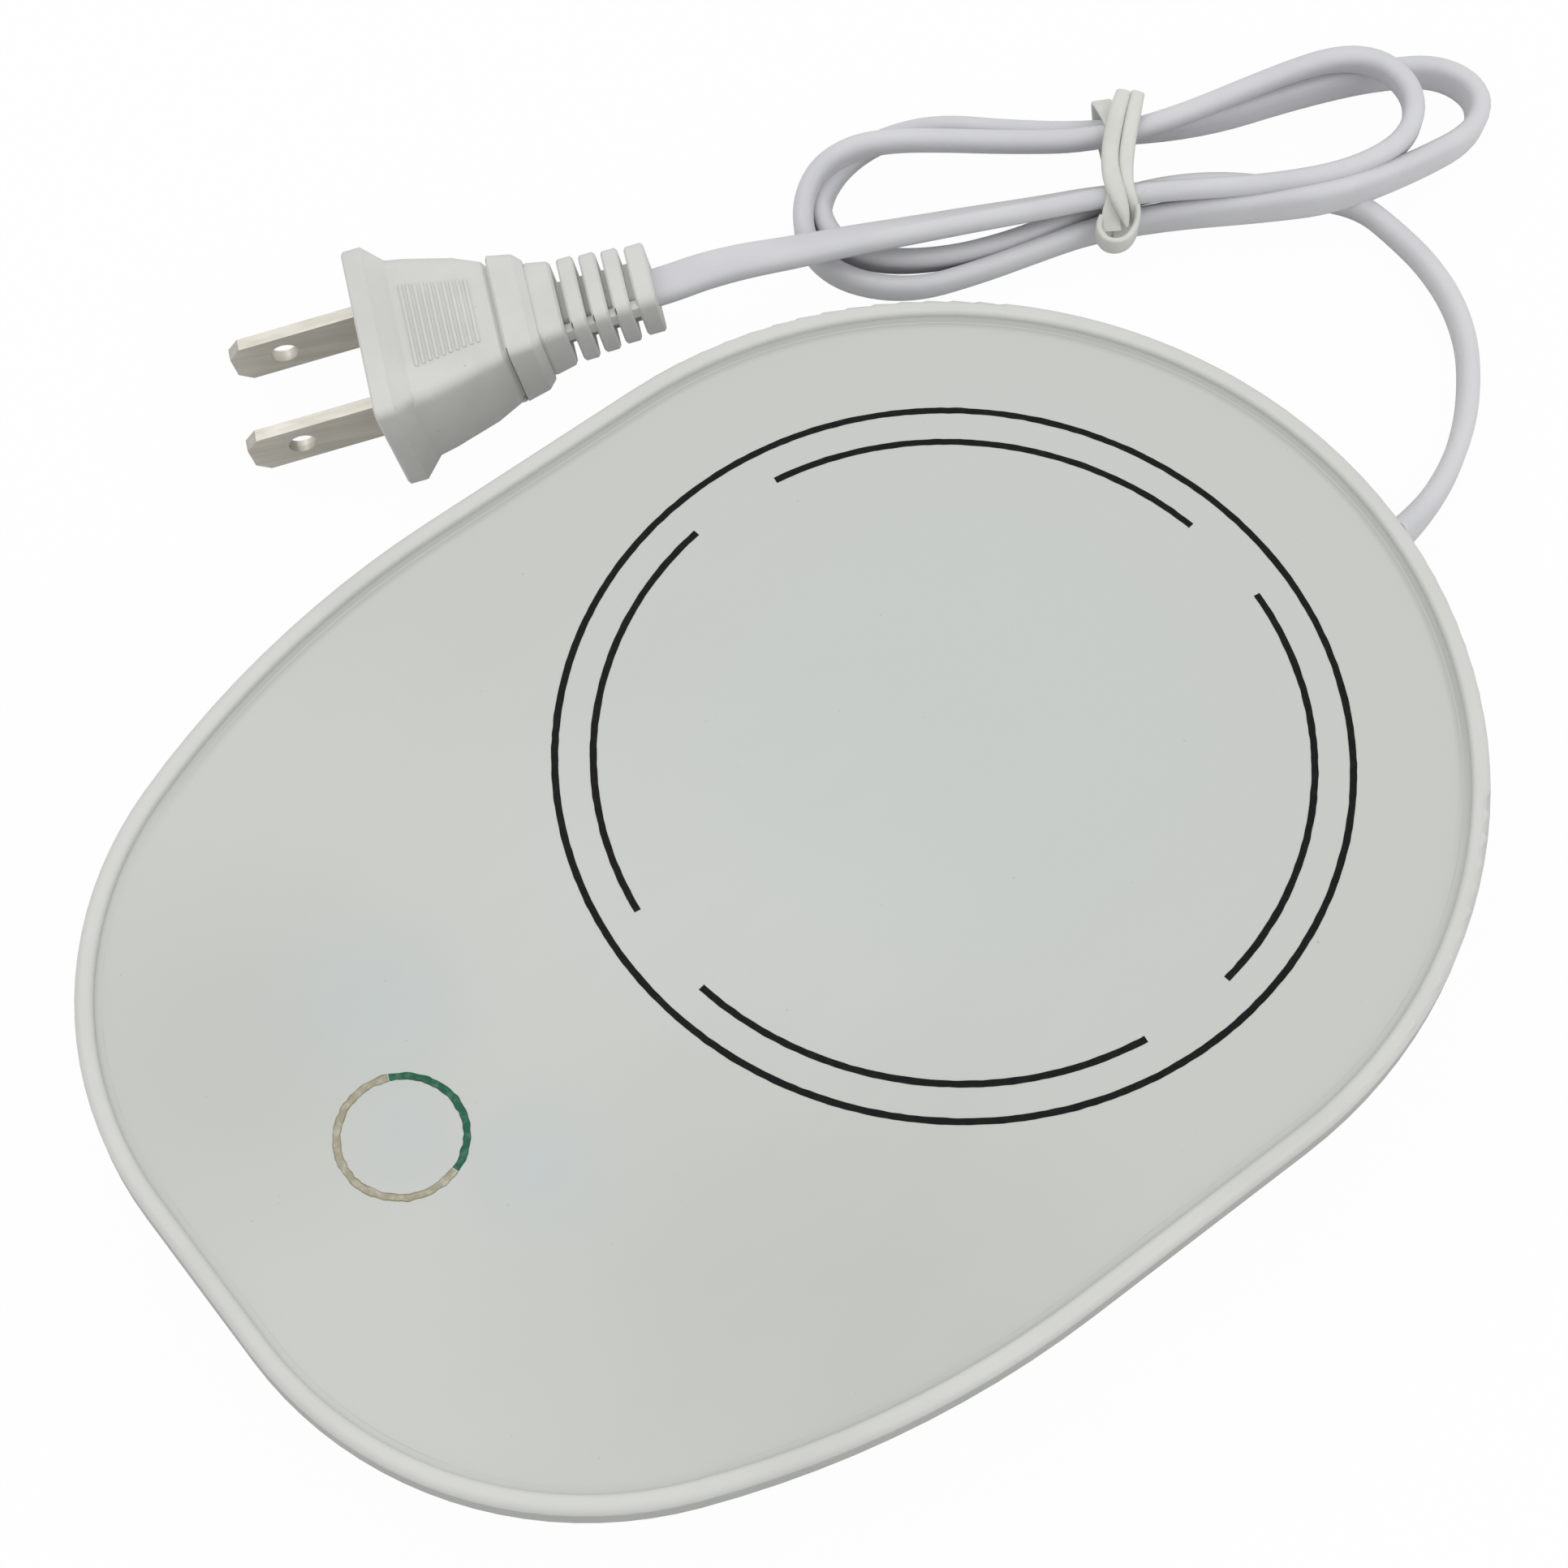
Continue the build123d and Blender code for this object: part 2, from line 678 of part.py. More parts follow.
def plug_blades():
    group = []
    length = blade_length + blade_root
    middle = (blade_length - blade_root) / 2
    for s in (1, -1):
        blade = Pos(s * blade_pitch / 2, 0, middle) * Box(blade_thickness, blade_width, length)
        tips = blade.edges().filter_by(Axis.X).group_by(Axis.Z)[-1]
        blade = chamfer(tips, blade_tip_chamfer)
        hole = Rot(0, 90, 0) * Cylinder(blade_hole_radius, 3 * blade_thickness)
        blade -= Pos(s * blade_pitch / 2, 0, blade_length - blade_hole_setback) * hole
        group.append(plug_frame * blade)
    return Compound(children=group)


def hank_point(along, across, z):
    turn = radians(hank_heading)
    x = hank_middle[0] + along * cos(turn) - across * sin(turn)
    y = hank_middle[1] + along * sin(turn) + across * cos(turn)
    return Vector(x, y, z)


def hank_way(heading, climb):
    turn = radians(hank_heading + heading)
    rise = radians(climb)
    return Vector(cos(turn) * cos(rise), sin(turn) * cos(rise), sin(rise))


def biarc(start, start_way, end, end_way):
    """Two arcs from one station to the next, tangent at both and where they join."""
    span = end - start
    both = start_way + end_way
    spread = 2 * (1 - start_way.dot(end_way))
    if spread < 1e-9:
        reach = span.dot(span) / (4 * span.dot(end_way))
    else:
        along = span.dot(both)
        reach = (sqrt(along * along + spread * span.dot(span)) - along) / spread
    middle = (start + end + (start_way - end_way) * reach) * 0.5
    middle_way = (span - both * reach).normalized()
    arcs = []
    for a, b, way in ((start, middle, start_way), (middle, end, middle_way)):
        chord = (b - a).normalized()
        straight = chord.cross(way).length < 1e-4
        arcs.append(Line(a, b) if straight else TangentArc(a, b, tangent=way))
    return arcs


def hank_path():
    places = [hank_point(*s[:3]) for s in hank_stations]
    ways = [hank_way(*s[3:]) for s in hank_stations]
    edges = [Line(places[0] - ways[0] * cord_diameter, places[0])]
    for i in range(len(places) - 1):
        edges += biarc(places[i], ways[i], places[i + 1], ways[i + 1])
    edges.append(Line(places[-1], places[-1] + ways[-1] * cord_diameter))
    return edges


def least_gap(edges):
    """Smallest space between two stretches of the hank's own cord."""
    points = []
    total = 0.0
    for edge in edges:
        count = max(2, int(edge.length / 0.8))
        for i in range(count):
            points.append((total + edge.length * i / count, edge @ (i / count)))
        total += edge.length
    best = 1000.0
    for i, (at, p) in enumerate(points):
        for other, q in points[i + 1:]:
            if other - at > 3.5 * cord_diameter:
                best = min(best, (p - q).length)
    return best - cord_diameter


def cord_tube(path):
    profile = Plane(origin=path @ 0, z_dir=path % 0) * Circle(cord_radius)
    return sweep(profile, path=path)


def cord_run(name, points):
    """Tube along straight runs joined by arcs as large as the runs allow."""
    points = [Vector(*p) for p in points]
    radii = []
    for a, b, c in zip(points, points[1:], points[2:]):
        turn = radians((b - a).get_angle(c - b))
        radii.append(0.45 * min((b - a).length, (c - b).length) / tan(turn / 2))
    path = FilletPolyline(*points, radius=radii)
    tube = cord_tube(path)
    ratio = tube.volume / (pi * cord_radius ** 2 * path.length)
    print(name, "radii", [round(r, 1) for r in radii])
    print(name, "length", round(path.length, 1), "volume", round(ratio, 4))
    return tube, path.length


def cords():
    edges = hank_path()
    hank = Wire(edges)
    tube = cord_tube(hank)
    ratio = tube.volume / (pi * cord_radius ** 2 * hank.length)
    print("hank gap", round(least_gap(edges), 2))
    print("hank length", round(hank.length, 1), "volume", round(ratio, 4))
    keep("cord_hank", tube)
    hank_start = hank @ 0
    start_way = hank % 0
    device_route = [
        (bush_tip_x, exit_across, exit_height),
        (bush_tip_x + 6.5, exit_across, exit_height),
        (bush_tip_x + 13.0, -2.2, 4.6),
        (bush_tip_x + 20.0, 2.6, 1.7),
        (bush_tip_x + 27.0, 10.0, 1.7),
        hank_point(36.6, -21.8, 1.7),
        hank_point(34.4, -14.2, 1.7),
        hank_point(30.0, -8.6, 1.7),
        hank_start - start_way * 5.5,
        hank_start,
    ]
    tube, device_length = cord_run("cord to the housing", device_route)
    keep("cord_lead_housing", tube)
    hank_end = hank @ 1
    end_way = hank % 1
    tail = plug_frame.origin - tips_way * relief_length
    plug_route = [
        hank_end,
        hank_end + end_way * 6.5,
        hank_point(-30.0, -5.7, 9.8),
        hank_point(-40.0, -7.7, 13.2),
        tail - tips_way * 9.0,
        tail,
    ]
    tube, plug_length = cord_run("cord to the plug", plug_route)
    keep("cord_lead_plug", tube)
    print("cord length", round(hank.length + device_length + plug_length, 1))


def twist_tie():
    """Flat strip bent round the hank's middle, with its end standing up on the far side."""
    frame = Plane(origin=hank_point(0, 0, 0), x_dir=hank_way(90, 0), z_dir=hank_way(0, 0))
    width = tie_far - tie_near
    height = tie_high - tie_low
    middle = Pos((tie_far + tie_near) / 2, (tie_high + tie_low) / 2)
    outer = middle * RectangleRounded(width, height, tie_corner)
    inner_size = (width - 2 * tie_thickness, height - 2 * tie_thickness)
    inner = middle * RectangleRounded(*inner_size, tie_corner - tie_thickness)
    band = extrude(frame * (outer - inner), tie_width / 2, both=True)
    tail = block(
        tie_far - tie_tail_inset - tie_thickness,
        tie_far - tie_tail_inset + tie_thickness,
        tie_high - tie_thickness / 2,
        tie_high + tie_tail_rise,
        -tie_width / 2,
        tie_width / 2,
    )
    return band + frame.location * tail


def main():
    os.makedirs("parts", exist_ok=True)
    keep("upper_housing", upper_housing())
    keep("bottom_cover", bottom_cover())
    keep("top_plate", top_plate())
    keep("plate_tape", plate_tape())
    keep("printed_ring", printed_ring())
    keep("touch_key_ring", key_ring())
    keep("heat_spreader", post(ring_x, 0, spreader_radius, spreader_bottom, plate_bottom))
    keep("heater_film", heater_film())
    keep("insulation_pad", insulation_pad())
    keep("heater_bracket", heater_bracket())
    head = (screw_head_radius, screw_head_height)
    bite = screw_bite - small_gap
    bracket_screws = screws(bracket_bosses, screw_radius, *head, bracket_bottom, bracket_thickness + bite)
    keep("bracket_screws", bracket_screws)
    keep("temperature_sensor", temperature_sensor())
    keep("thermal_fuse", thermal_fuse())
    keep("heater_wires", heater_wires())
    keep("sensor_wires", sensor_wires())
    keep("control_board", control_board())
    keep("board_screws", screws(board_posts, screw_radius, *head, board_bottom, board_thickness + bite))
    board_parts()
    key_parts()
    keep("case_screws", case_screws())
    keep("rubber_feet", rubber_feet())
    keep("cord_bush", cord_bush())
    keep("cord_sheath_end", rod(sheath_end_x, bush_end_x, exit_across, exit_height, cord_radius))
    keep("cord_clamp", cord_clamp())
    points = [(clamp_x, exit_across + s * clamp_spread) for s in (1, -1)]
    head = (clamp_head_radius, clamp_head_height)
    length = clamp_thickness + clamp_screw_bite
    keep("clamp_screws", screws(points, screw_radius, *head, clamp_top, length, upward=False))
    keep("supply_wires", supply_wires())
    cords()
    keep("twist_tie", twist_tie())
    keep("plug_body", plug_body())
    keep("plug_strain_relief", plug_strain_relief())
    keep("plug_blades", plug_blades())


main()
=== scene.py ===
import bmesh
import bpy
import json
from math import cos, pi, radians, sin
from mathutils import Matrix, Vector, noise


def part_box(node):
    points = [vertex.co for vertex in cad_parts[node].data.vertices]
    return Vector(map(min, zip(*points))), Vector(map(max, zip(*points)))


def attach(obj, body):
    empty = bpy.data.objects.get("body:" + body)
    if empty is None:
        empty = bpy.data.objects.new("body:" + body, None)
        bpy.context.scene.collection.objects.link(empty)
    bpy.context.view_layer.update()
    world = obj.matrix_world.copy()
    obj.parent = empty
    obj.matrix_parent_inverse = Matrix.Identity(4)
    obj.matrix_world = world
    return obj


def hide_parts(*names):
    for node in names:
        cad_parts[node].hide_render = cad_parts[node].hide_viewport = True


# Dressing of a mug warmer on a table, with its flat lead tied up behind it
# Metres, +Z up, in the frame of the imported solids

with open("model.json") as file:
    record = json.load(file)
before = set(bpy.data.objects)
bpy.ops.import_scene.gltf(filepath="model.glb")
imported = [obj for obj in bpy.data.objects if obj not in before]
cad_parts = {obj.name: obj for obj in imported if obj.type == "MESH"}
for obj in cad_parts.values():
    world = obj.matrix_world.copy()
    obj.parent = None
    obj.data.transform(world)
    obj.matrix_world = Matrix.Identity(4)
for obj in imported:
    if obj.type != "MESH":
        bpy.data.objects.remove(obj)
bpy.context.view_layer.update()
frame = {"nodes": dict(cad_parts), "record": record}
nodes = frame["nodes"]
mm = 0.001
up = Vector((0, 0, 1))


# helpers for colours and shader nodes

def srgb(red, green, blue):
    # colour as read on screen, 0 to 255, to the shader's linear value
    out = []
    for value in (red, green, blue):
        part = value / 255
        out.append(part / 12.92 if part <= 0.04045 else ((part + 0.055) / 1.055) ** 2.4)
    return (*out, 1)


def addNode(tree, kind, **settings):
    node = tree.nodes.new(kind)
    for key, value in settings.items():
        setattr(node, key, value)
    return node


def objectPlace(tree):
    return addNode(tree, "ShaderNodeTexCoord").outputs["Object"]


def noiseFac(tree, place, scale, detail=2.0, roughness=0.5, stretch=None):
    if stretch:
        mapping = addNode(tree, "ShaderNodeMapping")
        mapping.inputs["Scale"].default_value = stretch
        tree.links.new(place, mapping.inputs["Vector"])
        place = mapping.outputs["Vector"]
    texture = addNode(tree, "ShaderNodeTexNoise")
    texture.inputs["Scale"].default_value = scale
    texture.inputs["Detail"].default_value = detail
    texture.inputs["Roughness"].default_value = roughness
    tree.links.new(place, texture.inputs["Vector"])
    return texture.outputs["Fac"]


def mathOf(tree, operation, first, second=None):
    node = addNode(tree, "ShaderNodeMath", operation=operation)
    for socket, value in zip(node.inputs, (first, second)):
        if value is None:
            continue
        if isinstance(value, (int, float)):
            socket.default_value = value
        else:
            tree.links.new(value, socket)
    return node.outputs[0]


def spread(tree, fac, low, high, outLow=0.0, outHigh=1.0):
    # eases a value from low..high to outLow..outHigh
    node = addNode(tree, "ShaderNodeMapRange", interpolation_type="SMOOTHSTEP")
    for name, value in (("From Min", low), ("From Max", high), ("To Min", outLow), ("To Max", outHigh)):
        node.inputs[name].default_value = value
    tree.links.new(fac, node.inputs["Value"])
    return node.outputs["Result"]


def blendColour(tree, fac, first, second):
    node = addNode(tree, "ShaderNodeMix", data_type="RGBA")
    tree.links.new(fac, node.inputs[0])
    for socket, value in ((node.inputs[6], first), (node.inputs[7], second)):
        if isinstance(value, tuple):
            socket.default_value = value
        else:
            tree.links.new(value, socket)
    return node.outputs[2]


def distanceFrom(tree, place, point):
    # distance of the surface from a point, in metres
    gap = addNode(tree, "ShaderNodeVectorMath", operation="DISTANCE")
    gap.inputs[1].default_value = point
    tree.links.new(place, gap.inputs[0])
    return gap.outputs["Value"]


def addRelief(tree, shader, height, depth):
    # bump of a depth in millimetres
    bump = addNode(tree, "ShaderNodeBump")
    bump.inputs["Distance"].default_value = depth * mm
    bump.inputs["Strength"].default_value = 1.0
    tree.links.new(height, bump.inputs["Height"])
    tree.links.new(bump.outputs["Normal"], shader.inputs["Normal"])


def newFinish(name, roughness, metallic=0.0, ior=1.46):
    material = bpy.data.materials.new(name)
    material.use_nodes = True
    tree = material.node_tree
    shader = tree.nodes["Principled BSDF"]
    shader.inputs["Roughness"].default_value = roughness
    shader.inputs["Metallic"].default_value = metallic
    shader.inputs["IOR"].default_value = ior
    return material, tree, shader


def cloudColour(tree, place, look):
    # two near colours of one plastic, clouded into each other
    cloud = spread(tree, noiseFac(tree, place, look["cloudScale"], 3.0), 0.35, 0.68)
    return blendColour(tree, cloud, srgb(*look["light"]), srgb(*look["dull"]))


# ragged and soft are shares of the speck's radius
speck = {"raggedScale": 2500.0, "ragged": 0.8, "soft": (0.7, 1.3), "strength": 0.75}


def addSpecks(tree, place, colour, specks, tone):
    # small marks at chosen places: (x, y, z, radius) in millimetres
    for x, y, z, radius in specks:
        gap = distanceFrom(tree, place, (x * mm, y * mm, z * mm))
        ragged = noiseFac(tree, place, speck["raggedScale"], 3.0)
        gap = mathOf(tree, "ADD", gap, mathOf(tree, "MULTIPLY", ragged, speck["ragged"] * radius * mm))
        near, far = (share * radius * mm for share in speck["soft"])
        colour = blendColour(tree, spread(tree, gap, near, far, speck["strength"], 0.0), colour, tone)
    return colour


print("helpers ready")


# finishes of what shows

housingLook = {
    "light": (204, 205, 201), "dull": (198, 199, 195), "cloudScale": 38.0,
    # side: painted shade on the side wall below the rim, darker than the rim
    "side": (168, 170, 165),
    "sideShadeHeights": (20.5, 21.1),    # millimetres over which the painted shade of the side wall gives way to the rim's colour
    "specks": [
        (-11.6, 53.6, 21.7, 0.45), (-10.6, 53.9, 21.7, 0.35), (15.5, 54.4, 21.7, 0.4),
        (70.2, 19.6, 21.6, 0.4),
    ],
    "speckTone": (150, 148, 140),
    "roughness": (0.35, 0.48), "handledScale": 160.0,
    "grain": 900.0, "grainDepth": 0.006,
}


def housingFinish():
    look = housingLook
    material, tree, shader = newFinish("whiteHousing", look["roughness"][0], ior=1.5)
    place = objectPlace(tree)
    colour = cloudColour(tree, place, look)
    # the side wall below the rim is painted darker, a painted shade
    split = addNode(tree, "ShaderNodeSeparateXYZ")
    tree.links.new(place, split.inputs[0])
    low, high = look["sideShadeHeights"]
    above = spread(tree, split.outputs["Z"], low * mm, high * mm)
    colour = blendColour(tree, above, srgb(*look["side"]), colour)
    colour = addSpecks(tree, place, colour, look["specks"], srgb(*look["speckTone"]))
    tree.links.new(colour, shader.inputs["Base Color"])
    handled = noiseFac(tree, place, look["handledScale"], 4.0, 0.6)
    tree.links.new(spread(tree, handled, 0.3, 0.7, *look["roughness"]), shader.inputs["Roughness"])
    addRelief(tree, shader, noiseFac(tree, place, look["grain"], 3.0), look["grainDepth"])
    return material


plateLook = {
    "warm": (192, 194, 189), "cool": (192, 196, 193), "blue": (182, 190, 191), "dim": (180, 182, 177),
    # edge: painted shade and reflection of the rim's inner wall, along the plate's border on the far side
    "edge": (174, 177, 172), "line": (176, 179, 174), "dust": (160, 161, 155),
    "coolReach": (28.0, 70.0),      # millimetres from the ring's centre
    "driftScale": 14.0, "drift": 22.0,
    # patches where the plate turns dimmer or bluer: x, y, radius in millimetres, and the tone
    "tonePatches": [
        (-32.0, -36.0, 48.0, "dim"), (-60.0, 18.0, 36.0, "dim"), (-45.5, 13.7, 17.0, "blue"),
        (-43.5, -10.5, 15.0, "blue"), (-52.0, 0.0, 10.0, "blue"),
    ],
    "patchCore": 1.5, "patchStrength": 0.65, "patchScale": 90.0, "patchDrift": 4.0,
    "dustScale": 1500.0, "dustFrom": (0.83, 0.86), "dustStrength": 0.5,
    "farWay": (0.62, 0.78, 0.0),    # the direction of the plate's far side
    "edgeSide": (-8.0, 24.0),       # the border's painted shade grows from here to here, in millimetres along farWay
    "shadeBandFull": 0.55, "shadeBandFades": 0.7, "shadeBandAtEdge": 0.3,      # painted shade band of the border, by the attribute "border"
    "roughness": (0.11, 0.21), "wipedScale": 60.0, "wipedStretch": (1, 3, 1),
    "ripple": 90.0, "rippleDepth": 0.006,
    "lineBroken": 120.0, "lineFade": 0.7,
}


def farSide(tree, place):
    # 0 on the near side of the plate, 1 on the side of the cord; it keeps the border's painted shade to the
    # far side
    along = addNode(tree, "ShaderNodeVectorMath", operation="DOT_PRODUCT")
    along.inputs[1].default_value = plateLook["farWay"]
    tree.links.new(place, along.inputs[0])
    low, high = plateLook["edgeSide"]
    return spread(tree, along.outputs["Value"], low * mm, high * mm)


def plateFinish():
    look = plateLook
    material, tree, shader = newFinish("whitePlate", look["roughness"][0], ior=1.45)
    place = objectPlace(tree)
    gap = distanceFrom(tree, place, (ringX, 0, plateHigh.z))
    drift = noiseFac(tree, place, look["driftScale"], 2.0)
    gap = mathOf(tree, "ADD", gap, mathOf(tree, "MULTIPLY", drift, look["drift"] * mm))
    near, far = look["coolReach"]
    away = spread(tree, gap, near * mm, far * mm)
    colour = blendColour(tree, away, srgb(*look["cool"]), srgb(*look["warm"]))
    for x, y, radius, tone in look["tonePatches"]:
        gap = distanceFrom(tree, place, (x * mm, y * mm, plateHigh.z))
        drift = noiseFac(tree, place, look["patchScale"], 2.0)
        gap = mathOf(tree, "ADD", gap, mathOf(tree, "MULTIPLY", drift, look["patchDrift"] * mm))
        mask = spread(tree, gap, look["patchCore"] * mm, radius * mm, look["patchStrength"], 0.0)
        colour = blendColour(tree, mask, colour, srgb(*look[tone]))
    dust = noiseFac(tree, place, look["dustScale"], 1.0, 0.3)
    dust = spread(tree, dust, *look["dustFrom"], 0.0, look["dustStrength"])
    colour = blendColour(tree, dust, colour, srgb(*look["dust"]))
    # painted shade and reflection of the rim's inner wall: a band along the border, on the far side only
    border = addNode(tree, "ShaderNodeAttribute", attribute_name="border").outputs["Fac"]
    rise = spread(tree, border, 0.0, look["shadeBandFull"])
    fall = spread(tree, border, look["shadeBandFades"], 1.0, 1.0, look["shadeBandAtEdge"])
    paintedShadeBand = mathOf(tree, "MULTIPLY", mathOf(tree, "MULTIPLY", rise, fall), farSide(tree, place))
    colour = blendColour(tree, paintedShadeBand, colour, srgb(*look["edge"]))
    tree.links.new(colour, shader.inputs["Base Color"])
    wiped = noiseFac(tree, place, look["wipedScale"], 4.0, 0.6, look["wipedStretch"])
    tree.links.new(spread(tree, wiped, 0.35, 0.7, *look["roughness"]), shader.inputs["Roughness"])
    addRelief(tree, shader, noiseFac(tree, place, look["ripple"], 2.0), look["rippleDepth"])
    return material


def plateLineFinish():
    # the fine line inside the border, which fades out on the far side
    look = plateLook
    material, tree, shader = newFinish("plateLine", 0.25, ior=1.45)
    place = objectPlace(tree)
    broken = spread(tree, noiseFac(tree, place, look["lineBroken"], 3.0), 0.3, 0.6)
    fade = mathOf(tree, "MAXIMUM", farSide(tree, place), mathOf(tree, "MULTIPLY", broken, look["lineFade"]))
    colour = blendColour(tree, fade, srgb(*look["line"]), srgb(*look["warm"]))
    tree.links.new(colour, shader.inputs["Base Color"])
    return material


# colour, colour where thin, scale of the thin places, and colour of the painted shadow along the window's
# edges if there is one
inks = {
    "blackPrint": ((14, 15, 14), (24, 25, 23), 900.0, None),
    "greenPrint": ((34, 92, 72), (72, 118, 98), 1000.0, (62, 74, 44)),
    # the housing's white inside, seen through the key's window, painted in its shade
    "shadedInsidePrint": ((156, 152, 132), (182, 180, 165), 1000.0, (118, 112, 82)),
}
# the painted shadow along the edges of the key's window
inkLook = {
    "edgeShadowScale": 700.0, "edgeShadowRagged": 0.3, "edgeShadowFrom": (0.46, 0.64), "edgeShadowStrength": 0.85,
    "roughness": 0.45, "grain": 3000.0, "grainDepth": 0.01,
}


def printFinish(name):
    # thin fired ink, a little uneven, with a painted shadow along its edges where the attribute "across"
    # nears 0 or 1
    look = inkLook
    tone, thinTone, scale, edgeShadow = inks[name]
    material, tree, shader = newFinish(name, look["roughness"], ior=1.2)
    place = objectPlace(tree)
    thin = spread(tree, noiseFac(tree, place, scale, 3.0, 0.6), 0.42, 0.72)
    colour = blendColour(tree, thin, srgb(*tone), srgb(*thinTone))
    # painted shadow along the inner and outer edges of the key's window
    if edgeShadow:
        across = addNode(tree, "ShaderNodeAttribute", attribute_name="across").outputs["Fac"]
        away = mathOf(tree, "ABSOLUTE", mathOf(tree, "SUBTRACT", across, 0.5))
        ragged = mathOf(tree, "MULTIPLY", noiseFac(tree, place, look["edgeShadowScale"], 2.0), look["edgeShadowRagged"])
        mask = spread(tree, mathOf(tree, "ADD", away, ragged), *look["edgeShadowFrom"], 0.0, look["edgeShadowStrength"])
        colour = blendColour(tree, mask, colour, srgb(*edgeShadow))
    tree.links.new(colour, shader.inputs["Base Color"])
    addRelief(tree, shader, noiseFac(tree, place, look["grain"], 2.0), look["grainDepth"])
    return material


cordLook = {
    "light": (207, 207, 210), "dull": (201, 201, 205), "cloudScale": 70.0, "grime": (184, 183, 187),
    "grimeNoise": (420.0, 3.0, 0.7), "grimeFrom": (0.66, 0.78), "grimeStrength": 0.35,
    "specks": [(127.7, 50.9, 6.0, 0.6), (131.6, 46.6, 6.0, 0.5), (115.4, 60.0, 7.0, 0.45)],
    "speckTone": (120, 120, 124),
    "roughness": 0.42, "grain": 700.0, "grainDepth": 0.02,
}
plugLook = {
    "light": (206, 206, 203), "dull": (199, 199, 195), "cloudScale": 110.0, "grime": (168, 162, 152),
    "grimeNoise": (900.0, 2.0, 0.6), "grimeFrom": (0.74, 0.8), "grimeStrength": 0.6,
    "roughness": 0.45, "grain": 1400.0, "grainDepth": 0.025,
}
tieLook = {
    "light": (211, 212, 206), "dull": (204, 205, 199), "cloudScale": 200.0,
    "roughness": 0.5, "grain": 1100.0, "grainDepth": 0.03,
}


def softPlasticFinish(name, look):
    # flexible white plastic, with grime and specks where its look has them
    material, tree, shader = newFinish(name, look["roughness"], ior=1.48)
    place = objectPlace(tree)
    colour = cloudColour(tree, place, look)
    if "grime" in look:
        grime = noiseFac(tree, place, *look["grimeNoise"])
        grime = spread(tree, grime, *look["grimeFrom"], 0.0, look["grimeStrength"])
        colour = blendColour(tree, grime, colour, srgb(*look["grime"]))
    if "specks" in look:
        colour = addSpecks(tree, place, colour, look["specks"], srgb(*look["speckTone"]))
    tree.links.new(colour, shader.inputs["Base Color"])
    addRelief(tree, shader, noiseFac(tree, place, look["grain"], 3.0), look["grainDepth"])
    return material


nickelLook = {
    "light": (202, 199, 190), "dull": (188, 183, 173),
    "brushScale": 900.0, "brushStretch": (0.05, 1, 1), "brushDepth": 0.002,
    "roughness": (0.32, 0.44), "wornScale": 300.0,
}


def nickelFinish():
    # drawn nickel plate, brushed along the blades
    look = nickelLook
    material, tree, shader = newFinish("nickelBlade", look["roughness"][0], 1.0)
    place = objectPlace(tree)
    turned = addNode(tree, "ShaderNodeMapping")
    turned.inputs["Rotation"].default_value = (0, 0, -radians(plugPlace["heading"]))
    tree.links.new(place, turned.inputs["Vector"])
    brushed = noiseFac(tree, turned.outputs["Vector"], look["brushScale"], 4.0, 0.6, look["brushStretch"])
    streaks = spread(tree, brushed, 0.3, 0.7)
    colour = blendColour(tree, streaks, srgb(*look["light"]), srgb(*look["dull"]))
    tree.links.new(colour, shader.inputs["Base Color"])
    worn = noiseFac(tree, place, look["wornScale"], 3.0)
    tree.links.new(spread(tree, worn, 0.3, 0.7, *look["roughness"]), shader.inputs["Roughness"])
    addRelief(tree, shader, brushed, look["brushDepth"])
    return material


# finishes of what is inside or underneath: colour, darker colour, roughness, metallic, grain, depth in mm
innerLooks = {
    "adhesive_tape": ((48, 48, 50), (36, 36, 38), 0.8, 0, 1800, 0.05),
    "bare_aluminium": ((212, 213, 215), (190, 192, 195), 0.32, 1, 700, 0.01),
    "heater_foil": ((205, 130, 55), (170, 98, 34), 0.3, 0, 500, 0.02),
    "glass_felt": ((232, 229, 218), (212, 208, 196), 0.95, 0, 1500, 0.2),
    "zinc_steel": ((196, 198, 202), (165, 168, 174), 0.35, 1, 400, 0.01),
    "sensor_resin": ((40, 40, 42), (24, 24, 26), 0.35, 0, 800, 0.02),
    "red_wire": ((196, 40, 34), (168, 28, 26), 0.45, 0, 900, 0.01),
    "white_wire": ((228, 228, 224), (212, 212, 208), 0.45, 0, 900, 0.01),
    "board_green": ((24, 98, 52), (14, 72, 38), 0.35, 0, 260, 0.03),
    "black_part": ((36, 36, 38), (24, 24, 26), 0.5, 0, 1600, 0.02),
    "yellow_part": ((222, 184, 40), (202, 162, 28), 0.4, 0, 900, 0.02),
    "blue_part": ((34, 82, 170), (24, 62, 140), 0.4, 0, 900, 0.03),
    "terminal_white": ((224, 223, 214), (206, 205, 196), 0.5, 0, 1300, 0.02),
    "fuse_glass": ((222, 228, 226), (200, 208, 206), 0.08, 0, 300, 0.01),
    "foam_grey": ((92, 92, 95), (66, 66, 69), 0.95, 0, 2200, 0.2),
    "clear_guide": ((228, 230, 226), (214, 217, 212), 0.3, 0, 700, 0.01),
    "lamp_white": ((242, 238, 196), (228, 222, 176), 0.25, 0, 900, 0.01),
    "cover_white": ((222, 222, 219), (212, 212, 208), 0.55, 0, 1300, 0.03),
    "grey_rubber": ((112, 112, 114), (92, 92, 94), 0.75, 0, 1500, 0.05),
}


